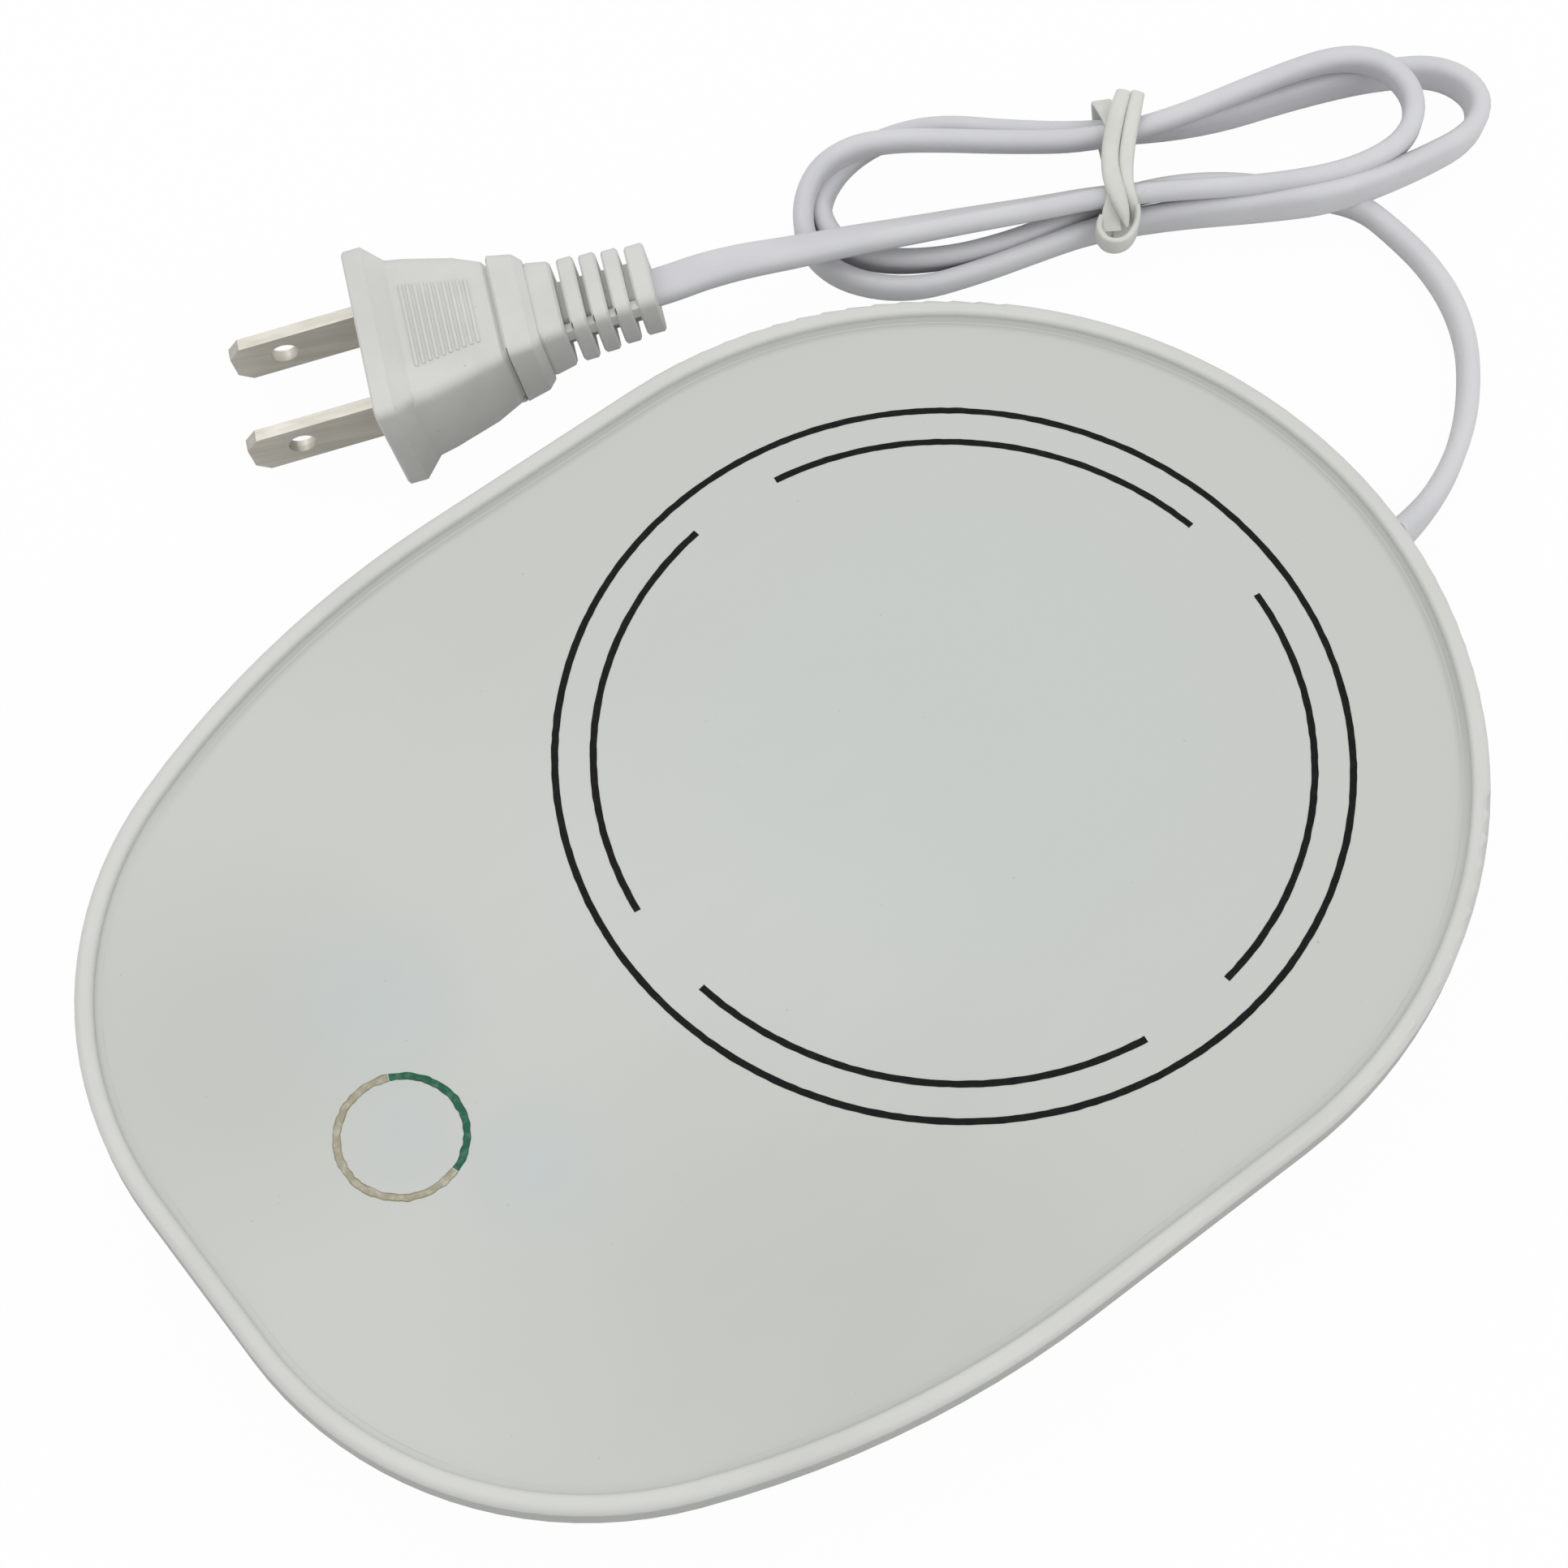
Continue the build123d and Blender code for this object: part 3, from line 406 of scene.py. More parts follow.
def innerFinish(name, look):
    light, dull, roughness, metallic, grain, depth = look
    material, tree, shader = newFinish(name, roughness, metallic)
    place = objectPlace(tree)
    cloud = spread(tree, noiseFac(tree, place, grain / 8, 3.0), 0.3, 0.7)
    tree.links.new(blendColour(tree, cloud, srgb(*light), srgb(*dull)), shader.inputs["Base Color"])
    addRelief(tree, shader, noiseFac(tree, place, grain, 3.0), depth)
    return material


# pieces of mesh

def finishPiece(bm, name, materials, replaced=(), smoothAngle=38):
    # turns a bmesh in metres into a piece that rides on the warmer
    mesh = bpy.data.meshes.new(name)
    bm.to_mesh(mesh)
    bm.free()
    for material in materials:
        mesh.materials.append(material)
    mesh.shade_smooth()
    mesh.set_sharp_from_angle(angle=radians(smoothAngle))
    piece = bpy.data.objects.new(name, mesh)
    bpy.context.scene.collection.objects.link(piece)
    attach(piece, "root")
    if replaced:
        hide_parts(*replaced)
    return piece


# the drop outline, from the housing's box and three measures of its own, in millimetres and degrees
outline = {
    "sideArc": 112.0, "sideTurn": 22.5, "tailFlat": 19.0,
    "arcStep": 2.5, "leastSteps": 6, "weld": 0.01,
}
bodyLow, bodyHigh = (Vector(corner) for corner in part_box("upper_housing"))
bigRadius = (bodyHigh.y - bodyLow.y) / 2
ringX = bodyHigh.x - bigRadius
plateLow, plateHigh = (Vector(corner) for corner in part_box("top_plate"))


def dropOutline(bm, inset, height):
    # half the outline is drawn by spins and mirrored
    turn = radians(outline["sideTurn"])
    side = outline["sideArc"] * mm
    flat = outline["tailFlat"] * mm / 2
    step = radians(outline["arcStep"])
    corner = (bigRadius - side * (1 - cos(turn)) - flat) / cos(turn)
    cornerCentre = Vector((bodyLow.x + corner, flat, height))
    shoulderX = bodyLow.x + side * sin(turn) + corner * (1 - sin(turn))
    last = bmesh.ops.create_vert(bm, co=(bodyLow.x + inset, 0, height))["vert"]

    def draw(offset):
        made = bmesh.ops.extrude_vert_indiv(bm, verts=last)["verts"]
        bmesh.ops.translate(bm, verts=made, vec=offset)
        return made

    def swing(centre, angle):
        steps = max(outline["leastSteps"], int(angle / step))
        made = bmesh.ops.spin(bm, geom=last, cent=centre, axis=up, angle=-angle, steps=steps)
        return [item for item in made["geom_last"] if isinstance(item, bmesh.types.BMVert)]

    last = draw(Vector((0, flat, 0)))
    last = swing(cornerCentre, pi / 2 - turn)
    last = swing(Vector((shoulderX, bigRadius - side, height)), turn)
    last = draw(Vector((ringX - shoulderX, 0, 0)))
    last = swing(Vector((ringX, 0, height)), pi / 2)
    bmesh.ops.mirror(bm, geom=bm.verts[:] + bm.edges[:], axis="Y", merge_dist=outline["weld"] * mm)
    bmesh.ops.remove_doubles(bm, verts=bm.verts, dist=outline["weld"] * mm)


# millimetres from the housing's side to the plate, and from the plate's edge to its line and border
plate = {"inset": 1.98, "lineFrom": 0.75, "line": 0.09, "border": 1.75}


def buildPlate(face, line):
    # the attribute "border" falls from 1 at the plate's edge to 0 at the inner side of its border; the
    # plate's finish paints a band of shade along it
    bm = bmesh.new()
    dropOutline(bm, plate["inset"] * mm, plateHigh.z)
    border = bm.verts.layers.float.new("border")
    top = bmesh.ops.contextual_create(bm, geom=bm.edges[:])["faces"]
    if top[0].normal.z < 0:
        bmesh.ops.reverse_faces(bm, faces=top)
    made = bmesh.ops.extrude_face_region(bm, geom=top)["geom"]
    lower = [item for item in made if isinstance(item, bmesh.types.BMVert)]
    bmesh.ops.translate(bm, verts=lower, vec=(0, 0, plateLow.z - plateHigh.z))
    bmesh.ops.recalc_face_normals(bm, faces=bm.faces)
    upper = max(bm.faces, key=lambda item: (item.normal.z, item.calc_area()))
    for vert in bm.verts:
        vert[border] = 1
    reach = 0
    rest = plate["border"] - plate["lineFrom"] - plate["line"]
    for width, index in ((plate["lineFrom"], 0), (plate["line"], 1), (rest, 0)):
        inset = bmesh.ops.inset_region(bm, faces=[upper], thickness=width * mm, use_even_offset=True)
        for item in inset["faces"]:
            item.material_index = index
        reach += width
        for vert in upper.verts:
            vert[border] = 1 - reach / plate["border"]
    upper.material_index = 0
    return finishPiece(bm, "topPlate", [face, line], ["top_plate"])


# the print is raised a hair above the plate and wavers as the photographed one does
printed = {
    "height": 0.04, "ringRadius": 42.5, "ringStroke": 0.75, "arcRadius": 38.4, "arcStroke": 0.75,
    "arcSpan": 73.6, "waver": 0.03, "waverScale": 900.0, "step": 0.5,
}
keyRing = {
    "centreX": -52.0, "radius": 6.6, "stroke": 0.8, "greenFrom": -70.0, "greenTo": 66.0, "gap": 0.8,
    "waver": 0.07, "waverScale": 1500.0, "step": 1.5,
}


def strokeRing(bm, centreX, radius, stroke, start, span, step):
    # a flat arc of ink, spun from one short edge; returns its vertices
    inner, outer = (radius - stroke / 2) * mm, (radius + stroke / 2) * mm
    turn = radians(start)
    height = plateHigh.z
    first = bmesh.ops.create_vert(bm, co=(centreX + inner * cos(turn), inner * sin(turn), height))["vert"]
    second = bmesh.ops.create_vert(bm, co=(centreX + outer * cos(turn), outer * sin(turn), height))["vert"]
    edge = bmesh.ops.contextual_create(bm, geom=first + second)["edges"]
    before = set(bm.verts)
    bmesh.ops.spin(
        bm, geom=first + second + edge, cent=(centreX, 0, height), axis=up, angle=radians(span),
        steps=int(span / step), use_merge=span == 360,
    )
    return first + second + [vert for vert in bm.verts if vert not in before]


def waver(verts, centreX, reach, scale):
    # pushes ink edges in and out along the radius
    for vert in verts:
        away = Vector((vert.co.x - centreX, vert.co.y, 0))
        vert.co += away.normalized() * 2 * reach * mm * noise.noise(vert.co * scale)


def thicken(bm, height):
    faces = bm.faces[:]
    bmesh.ops.recalc_face_normals(bm, faces=faces)
    for item in faces:
        if item.normal.z < 0:
            item.normal_flip()
    made = bmesh.ops.extrude_face_region(bm, geom=faces)["geom"]
    raised = [item for item in made if isinstance(item, bmesh.types.BMVert)]
    bmesh.ops.translate(bm, verts=raised, vec=(0, 0, height))
    bmesh.ops.recalc_face_normals(bm, faces=bm.faces)


def buildPrint(ink):
    bm = bmesh.new()
    verts = strokeRing(bm, ringX, printed["ringRadius"], printed["ringStroke"], 0, 360, printed["step"])
    for quadrant in range(4):
        start = 90 * quadrant + (90 - printed["arcSpan"]) / 2
        verts += strokeRing(
            bm, ringX, printed["arcRadius"], printed["arcStroke"], start, printed["arcSpan"], printed["step"]
        )
    waver(verts, ringX, printed["waver"], printed["waverScale"])
    thicken(bm, printed["height"] * mm)
    return finishPiece(bm, "printedRing", [ink], ["printed_ring"])


def buildKeyRing(green, shadedInside):
    bm = bmesh.new()
    look = keyRing
    centreX = look["centreX"] * mm
    greenSpan = look["greenTo"] - look["greenFrom"]
    strokeRing(bm, centreX, look["radius"], look["stroke"], look["greenFrom"], greenSpan, look["step"])
    greenFaces = len(bm.faces)
    # the rest of the window shows the housing's inside, painted in shade
    rest = 360 - greenSpan - 2 * look["gap"]
    strokeRing(bm, centreX, look["radius"], look["stroke"], look["greenTo"] + look["gap"], rest, look["step"])
    for index, item in enumerate(bm.faces):
        item.material_index = 0 if index < greenFaces else 1
    across = bm.verts.layers.float.new("across")
    for vert in bm.verts:
        vert[across] = 1 if (vert.co - Vector((centreX, 0, vert.co.z))).length > look["radius"] * mm else 0
    waver(bm.verts, centreX, look["waver"], look["waverScale"])
    thicken(bm, printed["height"] * mm)
    return finishPiece(bm, "touchKeyRing", [green, shadedInside], ["touch_key_ring"])


# the mains lead, in millimetres and degrees
hank = {"middle": (90.7, 53.8), "heading": -26.4}
cord = {
    "width": 4.9, "thickness": 2.5, "length": 500.0, "exit": (82.0, -4.5, 6.5),
    "resolution": 6, "profileSteps": 8, "weld": 0.005, "smoothAngle": 60,
}
# from the bush to the hank: x, y, height, lean
housingLead = [
    (82.0, -4.5, 6.5, 75), (84.6, -3.9, 5.3, 82), (90.0, -2.4, 3.8, 90), (95.6, 0.0, 3.0, 92),
    (101.1, 3.5, 2.7, 91), (105.4, 7.5, 2.6, 89), (108.9, 11.8, 2.6, 86), (111.5, 17.2, 2.6, 82),
    (112.7, 23.2, 2.6, 77), (112.6, 29.0, 2.6, 74), (112.1, 33.8, 2.6, 72),
]
# round the hank: along it, across it, height, lean
hankRun = [
    (23.6, -6.0, 2.6, 71), (18.2, -3.7, 2.6, 70), (12.0, -1.7, 2.7, 68), (5.0, -1.1, 2.9, 67),
    (-2.0, -1.9, 3.0, 66), (-8.5, -3.7, 2.9, 66), (-15.5, -5.2, 2.6, 67), (-23.0, -5.9, 2.6, 68),
    (-30.4, -4.9, 2.6, 72), (-35.2, -1.7, 2.6, 78), (-36.6, 3.3, 2.6, 85), (-34.8, 7.2, 2.6, 96),
    (-31.2, 10.6, 2.6, 106), (-26.2, 12.9, 2.6, 112), (-19.5, 13.3, 2.6, 112), (-11.4, 10.6, 2.8, 112),
    (-1.9, 8.1, 3.1, 110), (12.0, 7.2, 2.8, 100), (25.0, 9.6, 2.6, 93), (35.6, 10.4, 2.6, 90),
    (43.0, 9.4, 2.6, 84), (46.6, 4.4, 2.9, 80), (43.9, -1.4, 3.6, 84),
    (35.5, -5.4, 5.1, 91), (24.3, -9.1, 6.7, 94), (15.3, -8.1, 5.8, 92), (4.4, -5.9, 4.0, 84),
    (-4.8, -5.6, 3.1, 74), (-11.3, -6.9, 2.9, 69), (-19.5, -8.6, 2.7, 67), (-28.0, -9.7, 2.7, 68),
    (-35.3, -6.8, 2.7, 74), (-38.9, -2.0, 3.0, 82), (-38.8, 3.2, 3.9, 88), (-36.4, 7.3, 5.4, 98),
    (-32.1, 9.0, 7.0, 108), (-27.0, 9.2, 7.2, 114), (-20.2, 8.1, 6.9, 116), (-12.6, 6.6, 6.5, 116),
    (-3.0, 4.9, 6.4, 116), (7.3, 5.5, 7.1, 116), (20.4, 8.8, 7.6, 116), (29.0, 10.4, 7.7, 112),
    (34.8, 8.3, 7.7, 104), (37.3, 2.5, 7.5, 96), (34.3, -3.4, 7.3, 82), (26.6, -6.2, 7.3, 68),
    (16.5, -6.3, 7.4, 60), (4.9, -4.7, 7.4, 54), (-4.1, -4.0, 7.5, 50), (-11.1, -4.2, 7.5, 45),
    (-19.1, -4.2, 7.5, 40), (-27.1, -4.4, 7.6, 34), (-35.0, -4.8, 8.1, 26),
]
plugLeadLift = [(-41.8, -5.8, 9.2, 18), (-47.6, -7.2, 11.2, 10), (-53.0, -9.0, 13.1, 4)]
plugPlace = {
    "faceBack": (-87.45, 30.53), "heading": 154.9, "pitch": 10.0, "flangeHeight": 16.6, "forward": 0.5,
    "tail": 31.9, "straight": 3.0, "tailLean": 2,
}


def hankPoint(along, across, height):
    turn = radians(hank["heading"])
    x = hank["middle"][0] + along * cos(turn) - across * sin(turn)
    y = hank["middle"][1] + along * sin(turn) + across * cos(turn)
    return Vector((x, y, height)) * mm


def plugAxes():
    heading, pitch = radians(plugPlace["heading"]), radians(plugPlace["pitch"])
    tips = Vector((cos(heading) * cos(pitch), sin(heading) * cos(pitch), -sin(pitch)))
    side = Vector((cos(heading + pi / 2), sin(heading + pi / 2), 0))
    faceX = hank["middle"][0] + plugPlace["faceBack"][0]
    faceY = hank["middle"][1] + plugPlace["faceBack"][1]
    faceZ = plugPlace["flangeHeight"] / 2 * cos(pitch)
    return Vector((faceX, faceY, faceZ)) * mm, side, tips


def plugMatrix():
    # local X to the side, Y up, Z towards the blades' tips
    origin, side, tips = plugAxes()
    top = tips.cross(side)
    turn = Matrix((side, top, tips)).transposed().to_4x4()
    return Matrix.Translation(origin + tips * plugPlace["forward"] * mm) @ turn


def cordRoute():
    origin, side, tips = plugAxes()
    tail = origin - tips * plugPlace["tail"] * mm
    route = [(Vector((x, y, z)) * mm, lean) for x, y, z, lean in housingLead]
    route += [(hankPoint(*point[:3]), point[3]) for point in hankRun + plugLeadLift]
    route += [(place, plugPlace["tailLean"]) for place in (tail - tips * plugPlace["straight"] * mm, tail)]
    return route


def routeCurve(name, route, section=None, twist="Z_UP"):
    data = bpy.data.curves.new(name, "CURVE")
    data.dimensions = "3D"
    data.twist_mode = twist
    spline = data.splines.new("NURBS")
    spline.points.add(len(route) - 1)
    for point, (place, lean, *size) in zip(spline.points, route):
        point.co = (*place, 1)
        point.tilt = radians(lean)
        point.radius = size[0] if size else 1
    spline.order_u = 3
    spline.use_endpoint_u = True
    spline.resolution_u = cord["resolution"]
    if section:
        data.bevel_mode = "OBJECT"
        data.bevel_object = section
        data.use_fill_caps = True
    curve = bpy.data.objects.new(name, data)
    bpy.context.scene.collection.objects.link(curve)
    return curve


def sectionCurve(name, width, thickness, steps):
    # flat section with round edges, drawn round its two end arcs
    data = bpy.data.curves.new(name, "CURVE")
    spline = data.splines.new("POLY")
    count = 2 * (steps + 1)
    spline.points.add(count - 1)
    reach, radius = (width - thickness) / 2, thickness / 2
    for index in range(count):
        side = 1 if index <= steps else -1
        turn = pi * (index % (steps + 1)) / steps - pi / 2 + (0 if side > 0 else pi)
        spline.points[index].co = ((side * reach + radius * cos(turn)) * mm, radius * sin(turn) * mm, 0, 1)
    spline.use_cyclic_u = True
    section = bpy.data.objects.new(name, data)
    bpy.context.scene.collection.objects.link(section)
    return section


def meshOf(thing):
    bpy.context.view_layer.update()
    graph = bpy.context.evaluated_depsgraph_get()
    return bpy.data.meshes.new_from_object(thing.evaluated_get(graph), depsgraph=graph)


def sweep(bm, name, route, width, thickness, steps, twist="Z_UP"):
    # adds the section carried along the route, and returns the points that it follows
    section = sectionCurve(name + "Section", width, thickness, steps)
    tube = routeCurve(name + "Tube", route, section, twist)
    line = routeCurve(name + "Line", route)
    tubeMesh, lineMesh = meshOf(tube), meshOf(line)
    bm.from_mesh(tubeMesh)
    bmesh.ops.remove_doubles(bm, verts=bm.verts, dist=cord["weld"] * mm)
    bmesh.ops.recalc_face_normals(bm, faces=bm.faces)
    path = [vert.co.copy() for vert in lineMesh.vertices]
    for thing in (tube, line, section):
        bpy.data.objects.remove(thing)
    return path


def buildCord(finish):
    bm = bmesh.new()
    path = sweep(bm, "cord", cordRoute(), cord["width"], cord["thickness"], cord["profileSteps"])
    replaced = ["cord_lead_housing", "cord_hank", "cord_lead_plug"]
    piece = finishPiece(bm, "mainsCord", [finish], replaced, cord["smoothAngle"])
    length = sum((b - a).length for a, b in zip(path, path[1:]))
    print("cord length", round(length / mm, 1), "mm")
    return piece, path


# the plug, in millimetres: stations behind its face, each with half width and half height
plugShape = {
    "flange": [
        (0.0, 11.5, 8.0), (0.25, 11.75, 8.24), (2.3, 11.75, 8.24), (2.65, 11.5, 8.0), (4.1, 10.3, 7.15),
        (4.6, 9.9, 6.8),
    ],
    "body": [
        (2.5, 10.8, 7.3), (3.5, 10.4, 6.95), (6.7, 9.85, 6.6), (12.2, 8.3, 6.15), (15.3, 7.1, 5.4),
        (15.7, 6.6, 5.0), (16.4, 6.4, 4.9),
    ],
    "shoulder": [(15.9, 6.7, 5.45), (16.15, 7.15, 5.7), (18.9, 6.7, 5.25), (19.9, 5.9, 4.6)],
    "neck": [(19.8, 5.55, 4.4), (20.3, 5.65, 4.45), (22.6, 5.25, 4.15), (22.9, 4.95, 3.85)],
    "core": [(22.5, 3.1, 2.5), (33.0, 2.9, 2.3)],
    # corner radius of the first station
    "corners": {"flange": 1.1, "body": 1.7, "shoulder": 1.0, "neck": 1.3, "core": 1.0, "disc": 1.2},
    # strain relief: each disc's start, thickness and half width, and the webs between the discs
    "discs": [(23.7, 1.95, 5.0), (26.3, 1.95, 4.8), (28.9, 1.95, 4.6), (31.6, 2.3, 4.4)],
    "discFlatness": 0.86, "discEdge": 0.25,
    "webs": {
        "from": 22.6, "to": 32.5, "thickness": 1.2, "height": 2.0, "centre": 2.0, "inset": 0.35, "taper": 3.6,
        "rounding": 0.2,
    },
    "reliefShift": -0.25,
    # grip ridges on the body's upper side
    "ridges": 10, "ridgePitch": 0.82, "ridgeStart": 5.8, "ridgeWidths": (11.4, 8.8), "ridgeRise": 0.21,
    "ridgeThickness": 0.42, "ridgeRounding": 0.12,
    # side, height, back, size and rounding
    "nub": (6.2, -5.1, 15.6, 0.8, 0.2),
    "cornerSteps": 5, "blockSteps": 3,
}


def roundedSection(bm, halfWidth, halfHeight, corner, back):
    made = bmesh.ops.create_grid(bm, x_segments=1, y_segments=1, size=1)
    verts = made["verts"]
    bmesh.ops.scale(bm, verts=verts, vec=(halfWidth * mm, halfHeight * mm, 1))
    bmesh.ops.translate(bm, verts=verts, vec=(0, 0, -back * mm))
    bevelled = bmesh.ops.bevel(
        bm, geom=verts, offset=corner * mm, segments=plugShape["cornerSteps"], profile=0.5,
        affect="VERTICES", material=-1,
    )
    return bevelled["verts"][0].link_faces[0]


def loftStations(bm, stations, corner):
    # a closed block through rounded sections, each drawn out from the one before
    back, width, height = stations[0]
    start = roundedSection(bm, width, height, corner, back)
    face = start
    for nextBack, nextWidth, nextHeight in stations[1:]:
        made = bmesh.ops.extrude_face_region(bm, geom=[face], use_keep_orig=face is start)["geom"]
        verts = [item for item in made if isinstance(item, bmesh.types.BMVert)]
        face = [item for item in made if isinstance(item, bmesh.types.BMFace)][0]
        bmesh.ops.scale(bm, verts=verts, vec=(nextWidth / width, nextHeight / height, 1))
        bmesh.ops.translate(bm, verts=verts, vec=(0, 0, -(nextBack - back) * mm))
        back, width, height = nextBack, nextWidth, nextHeight


def softBlock(bm, centre, size, rounding, lean=0.0):
    made = bmesh.ops.create_cube(bm, size=1)["verts"]
    bmesh.ops.scale(bm, verts=made, vec=size)
    edges = list({edge for vert in made for edge in vert.link_edges})
    bevelled = bmesh.ops.bevel(
        bm, geom=edges, offset=rounding, segments=plugShape["blockSteps"], profile=0.5,
        affect="EDGES", material=-1,
    )
    verts = list({vert for face in bevelled["faces"] for vert in face.verts})
    bmesh.ops.rotate(bm, verts=verts, cent=(0, 0, 0), matrix=Matrix.Rotation(radians(lean), 3, "Y"))
    bmesh.ops.translate(bm, verts=verts, vec=centre)


def buildPlugBody(finish):
    bm = bmesh.new()
    look = plugShape
    for name in ("flange", "body"):
        loftStations(bm, look[name], look["corners"][name])
    bmesh.ops.recalc_face_normals(bm, faces=bm.faces)
    stations = look["body"]
    for index in range(look["ridges"]):
        back = look["ridgeStart"] + index * look["ridgePitch"]
        for near, far in zip(stations, stations[1:]):
            if near[0] <= back <= far[0]:
                share = (back - near[0]) / (far[0] - near[0])
                top = near[2] + (far[2] - near[2]) * share
        first, last = look["ridgeWidths"]
        width = first + (last - first) * index / (look["ridges"] - 1)
        size = (width * mm, 2 * look["ridgeRise"] * mm, look["ridgeThickness"] * mm)
        softBlock(bm, (0, top * mm, -back * mm), size, look["ridgeRounding"] * mm)
    side, height, back, size, rounding = look["nub"]
    softBlock(bm, (side * mm, height * mm, -back * mm), [size * mm] * 3, rounding * mm)
    bmesh.ops.transform(bm, matrix=plugMatrix(), verts=bm.verts)
    return finishPiece(bm, "plugBody", [finish], ["plug_body"])


def buildRelief(finish):
    bm = bmesh.new()
    look = plugShape
    for name in ("shoulder", "neck", "core"):
        loftStations(bm, look[name], look["corners"][name])
    edge = look["discEdge"]
    for back, thickness, halfWidth in look["discs"]:
        halfHeight = halfWidth * look["discFlatness"]
        stations = [
            (back, halfWidth - edge, halfHeight - edge),
            (back + edge, halfWidth, halfHeight),
            (back + thickness - edge, halfWidth, halfHeight),
            (back + thickness, halfWidth - edge, halfHeight - edge),
        ]
        loftStations(bm, stations, look["corners"]["disc"])
    bmesh.ops.recalc_face_normals(bm, faces=bm.faces)
    web = look["webs"]
    middle = (web["from"] + web["to"]) / 2
    size = (web["thickness"] * mm, web["height"] * mm, (web["to"] - web["from"]) * mm)
    for side in (1, -1):
        reach = (look["discs"][1][2] - web["thickness"] / 2 - web["inset"]) * side
        centre = (reach * mm, web["centre"] * side * mm, -middle * mm)
        softBlock(bm, centre, size, web["rounding"] * mm, web["taper"] * side)
    bmesh.ops.translate(bm, verts=bm.verts, vec=(look["reliefShift"] * mm, 0, 0))
    bmesh.ops.transform(bm, matrix=plugMatrix(), verts=bm.verts)
    return finishPiece(bm, "plugStrainRelief", [finish], ["plug_strain_relief"])


# the twist tie: a strip goes round the strands and comes back over the top folded in two, and its end
# makes a loop on the near side; width and thickness of each, in millimetres
tie = {
    "wrap": (2.4, 0.5), "leftFold": (2.1, 1.4), "rightFold": (1.9, 1.2), "loop": (2.7, 0.8),
    "profileSteps": 6, "smoothAngle": 50,
}
# along and across the hank, height, lean, and a share of the width where it isn't whole
tieRoutes = {
    "wrap": [
        (-1.5, -5.0, 9.7, 0), (-1.6, -7.2, 8.6, 0), (-1.7, -7.5, 4.5, 0), (-1.4, -7.1, 0.9, 0),
        (-0.8, -5.0, 0.5, 0), (0.3, 2.0, 0.5, 0), (0.6, 8.2, 0.5, 0), (0.4, 10.2, 1.2, 0),
        (0.1, 10.5, 4.0, 0), (-0.3, 10.1, 6.6, 0), (-0.5, 9.2, 8.0, 0), (-0.5, 7.7, 8.8, 0),
        (-0.1, 5.6, 9.1, 0), (0.1, 2.4, 9.3, 0), (-0.9, -1.5, 9.7, 0), (-1.7, -4.2, 9.9, 0),
        (-2.6, -6.2, 9.3, 0), (-3.5, -7.5, 8.3, 0), (-3.6, -8.9, 7.2, 0),
    ],
    "leftFold": [
        (1.8, 8.3, 10.4, 14, 0.9), (0.64, 6.3, 10.3, 14), (-0.65, 3.4, 10.3, 12), (-1.72, 0.7, 10.3, 10),
        (-2.4, -1.8, 10.5, 6), (-2.67, -4.2, 10.7, 0, 1.1), (-2.5, -6.3, 10.4, -8, 1.05),
        (-2.2, -7.8, 9.7, -12, 0.8), (-2.0, -8.9, 8.7, -14, 0.45), (-1.95, -9.3, 8.2, -14, 0.2),
    ],
    "rightFold": [
        (3.45, 7.85, 10.4, -12, 0.9), (2.55, 5.9, 10.2, -12), (1.13, 2.6, 10.1, -10), (0.05, -0.3, 10.2, -8),
        (-0.62, -2.6, 10.3, -6, 0.95), (-0.98, -5.0, 10.2, 0, 0.8), (-0.7, -6.8, 9.3, 20, 0.7),
        (-0.4, -7.6, 8.0, 50, 0.6),
    ],
    "loop": [
        (-0.7, -6.6, 8.4, 70), (-0.4, -7.7, 7.6, 84), (-0.8, -9.2, 7.0, 90), (-1.95, -10.5, 6.8, 90),
        (-3.4, -10.9, 6.8, 90), (-4.6, -10.4, 6.8, 90), (-5.15, -9.1, 6.8, 90), (-5.0, -7.8, 6.9, 90),
        (-4.3, -7.0, 7.1, 90),
    ],
}


def buildTie(finish):
    bm = bmesh.new()
    for name, points in tieRoutes.items():
        route = [(hankPoint(*point[:3]), *point[3:]) for point in points]
        width, thickness = tie[name]
        twist = "MINIMUM" if name == "wrap" else "Z_UP"
        sweep(bm, "tie" + name, route, width, thickness, tie["profileSteps"], twist)
    return finishPiece(bm, "twistTie", [finish], ["twist_tie"], tie["smoothAngle"])


print("builders ready")


# dressing

whiteHousing = housingFinish()
whitePlate = plateFinish()
plateLine = plateLineFinish()
blackPrint = printFinish("blackPrint")
greenPrint = printFinish("greenPrint")
# the key window's other half: the housing's inside, painted in shade
shadedInsidePrint = printFinish("shadedInsidePrint")
whiteCord = softPlasticFinish("whiteCord", cordLook)
whitePlug = softPlasticFinish("whitePlug", plugLook)
whiteTie = softPlasticFinish("whiteTie", tieLook)
nickelBlade = nickelFinish()

# the nodes that show, and those that the pieces below stand in for
shown = {
    "upper_housing": whiteHousing, "top_plate": whitePlate, "printed_ring": blackPrint,
    "touch_key_ring": greenPrint, "cord_bush": whiteCord, "cord_sheath_end": whiteCord,
    "cord_lead_housing": whiteCord, "cord_hank": whiteCord, "cord_lead_plug": whiteCord,
    "twist_tie": whiteTie, "plug_body": whitePlug, "plug_strain_relief": whitePlug,
    "plug_blades": nickelBlade,
}
innerFinishes = {name: innerFinish(name + "Finish", look) for name, look in innerLooks.items()}
slots = {item["node"]: item["material_slot"] for item in frame["record"]["subparts"]}
for name, thing in nodes.items():
    material = shown.get(name) or innerFinishes[slots[name]]
    thing.data.materials.clear()
    thing.data.materials.append(material)
print("nodes dressed:", len(nodes))

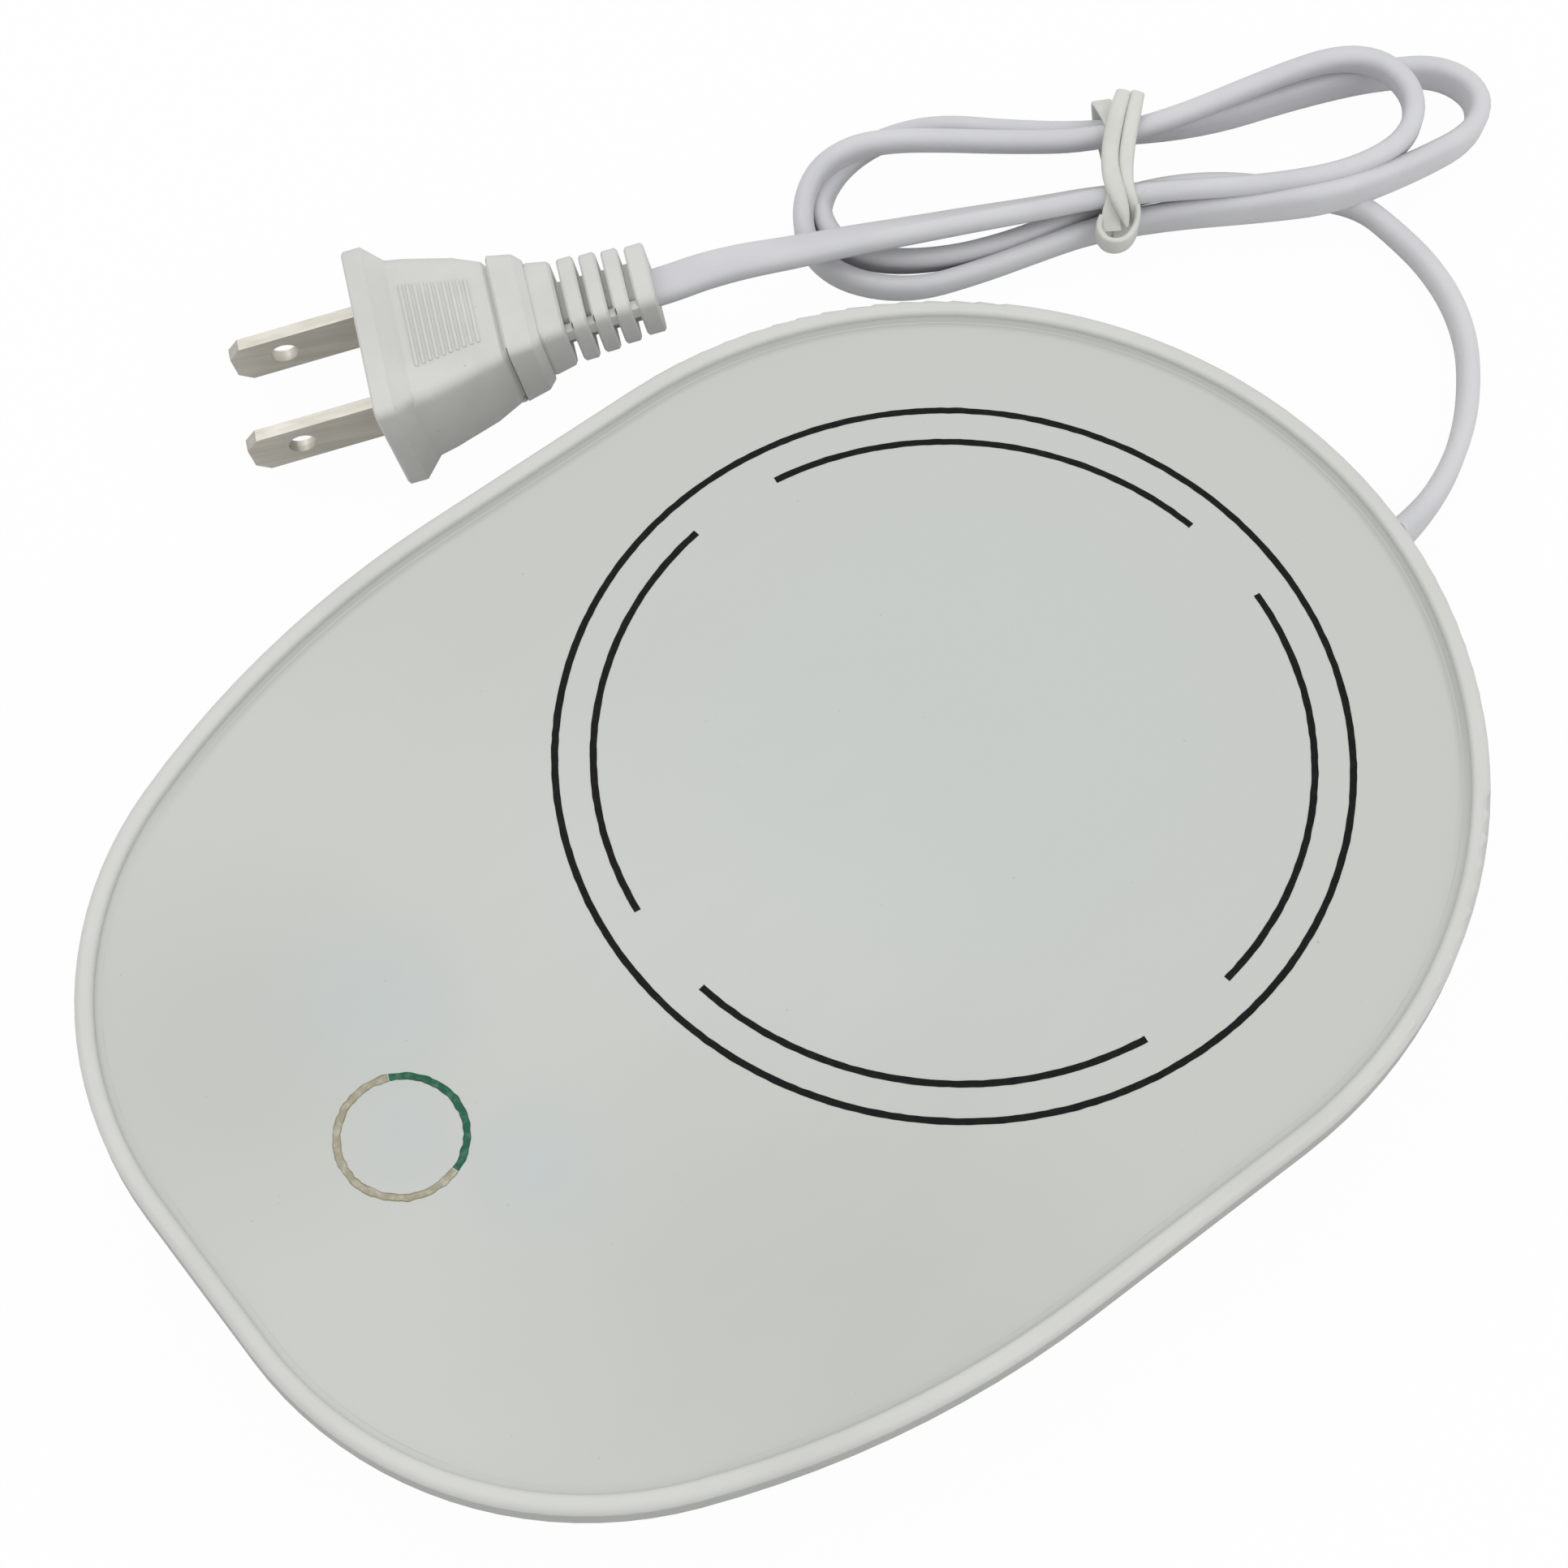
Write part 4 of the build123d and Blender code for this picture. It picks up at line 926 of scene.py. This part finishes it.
buildPlate(whitePlate, plateLine)
buildPrint(blackPrint)
buildKeyRing(greenPrint, shadedInsidePrint)
print("plate and print made")

mainsCord, cordPath = buildCord(whiteCord)
plugBody = buildPlugBody(whitePlug)
plugRelief = buildRelief(whitePlug)
twistTie = buildTie(whiteTie)
print("cord and plug made")


# floor, light and camera

# lengths in metres, power in watts
stage = {
    "floorHalf": 4.0, "floorTone": 0.74, "mottle": 1.01, "mottleScale": 30.0,
    "floorWhite": 0.97, "worldStrength": 0.8, "aim": (0.04, 0.02, 0),
    "keyPower": 2.2, "keyPlace": (-0.25, 0.35, 0.9), "keySize": 0.9,
    "fillPower": 2.0, "fillPlace": (0.42, -0.62, 0.72), "fillSize": 0.8,
}


def seenDirectly(tree, gloss=True):
    # 1 for rays from the camera or through glass, and for those in gloss where asked
    path = addNode(tree, "ShaderNodeLightPath")
    seen = mathOf(tree, "MAXIMUM", path.outputs["Is Camera Ray"], path.outputs["Is Transmission Ray"])
    return mathOf(tree, "MAXIMUM", seen, path.outputs["Is Glossy Ray"]) if gloss else seen


def buildFloor():
    bm = bmesh.new()
    bmesh.ops.create_grid(bm, x_segments=1, y_segments=1, size=stage["floorHalf"])
    mesh = bpy.data.meshes.new("floor")
    bm.to_mesh(mesh)
    bm.free()
    floor = bpy.data.objects.new("floor", mesh)
    bpy.context.scene.collection.objects.link(floor)
    material = bpy.data.materials.new("paleFloor")
    material.use_nodes = True
    tree = material.node_tree
    tree.nodes.clear()
    place = objectPlace(tree)
    mottled = noiseFac(tree, place, stage["mottleScale"], 3.0)
    tone = stage["floorTone"]
    paler = tone * stage["mottle"]
    matte = addNode(tree, "ShaderNodeBsdfDiffuse")
    colour = blendColour(tree, mottled, (tone, tone, tone, 1), (paler, paler, paler, 1))
    tree.links.new(colour, matte.inputs["Color"])
    white = addNode(tree, "ShaderNodeEmission")
    mixed = addNode(tree, "ShaderNodeMixShader")
    tree.links.new(mathOf(tree, "MULTIPLY", seenDirectly(tree, False), stage["floorWhite"]), mixed.inputs[0])
    tree.links.new(matte.outputs[0], mixed.inputs[1])
    tree.links.new(white.outputs[0], mixed.inputs[2])
    tree.links.new(mixed.outputs[0], addNode(tree, "ShaderNodeOutputMaterial").inputs[0])
    mesh.materials.append(material)


def buildLight():
    scene = bpy.context.scene
    scene.world = scene.world or bpy.data.worlds.new("studio")
    scene.world.use_nodes = True
    tree = scene.world.node_tree
    background = tree.nodes["Background"]
    background.inputs["Color"].default_value = (1, 1, 1, 1)
    strength = mathOf(tree, "MULTIPLY", seenDirectly(tree), 1 - stage["worldStrength"])
    strength = mathOf(tree, "ADD", strength, stage["worldStrength"])
    tree.links.new(strength, background.inputs["Strength"])
    for name in ("key", "fill"):
        lamp = bpy.data.lights.new(name, "AREA")
        lamp.energy = stage[name + "Power"]
        lamp.size = stage[name + "Size"]
        holder = bpy.data.objects.new(name, lamp)
        holder.location = stage[name + "Place"]
        aim = Vector(stage["aim"]) - holder.location
        holder.rotation_euler = aim.to_track_quat("-Z", "Y").to_euler()
        scene.collection.objects.link(holder)


# place and lens in millimetres, angles in degrees
view = {
    "place": (-109.26, -133.0, 378.9), "heading": 51.406, "drop": 63.279, "roll": 0.746,
    "lens": 86.8, "sensor": 36, "nearest": 10.0,
}


def buildCamera():
    heading, drop, roll = (radians(view[key]) for key in ("heading", "drop", "roll"))
    forward = Vector((cos(heading) * cos(drop), sin(heading) * cos(drop), -sin(drop)))
    level = forward.cross(up).normalized()
    over = level.cross(forward)
    right = level * cos(roll) + over * sin(roll)
    over = over * cos(roll) - level * sin(roll)
    data = bpy.data.cameras.new("view")
    data.lens = view["lens"]
    data.sensor_width = view["sensor"]
    data.clip_start = view["nearest"] * mm
    camera = bpy.data.objects.new("view", data)
    turn = Matrix((right, over, -forward)).transposed().to_4x4()
    camera.matrix_world = Matrix.Translation(Vector(view["place"]) * mm) @ turn
    bpy.context.scene.collection.objects.link(camera)
    bpy.context.scene.camera = camera


buildFloor()
buildLight()
buildCamera()
bpy.context.scene.view_settings.view_transform = "Standard"
print("stage ready")
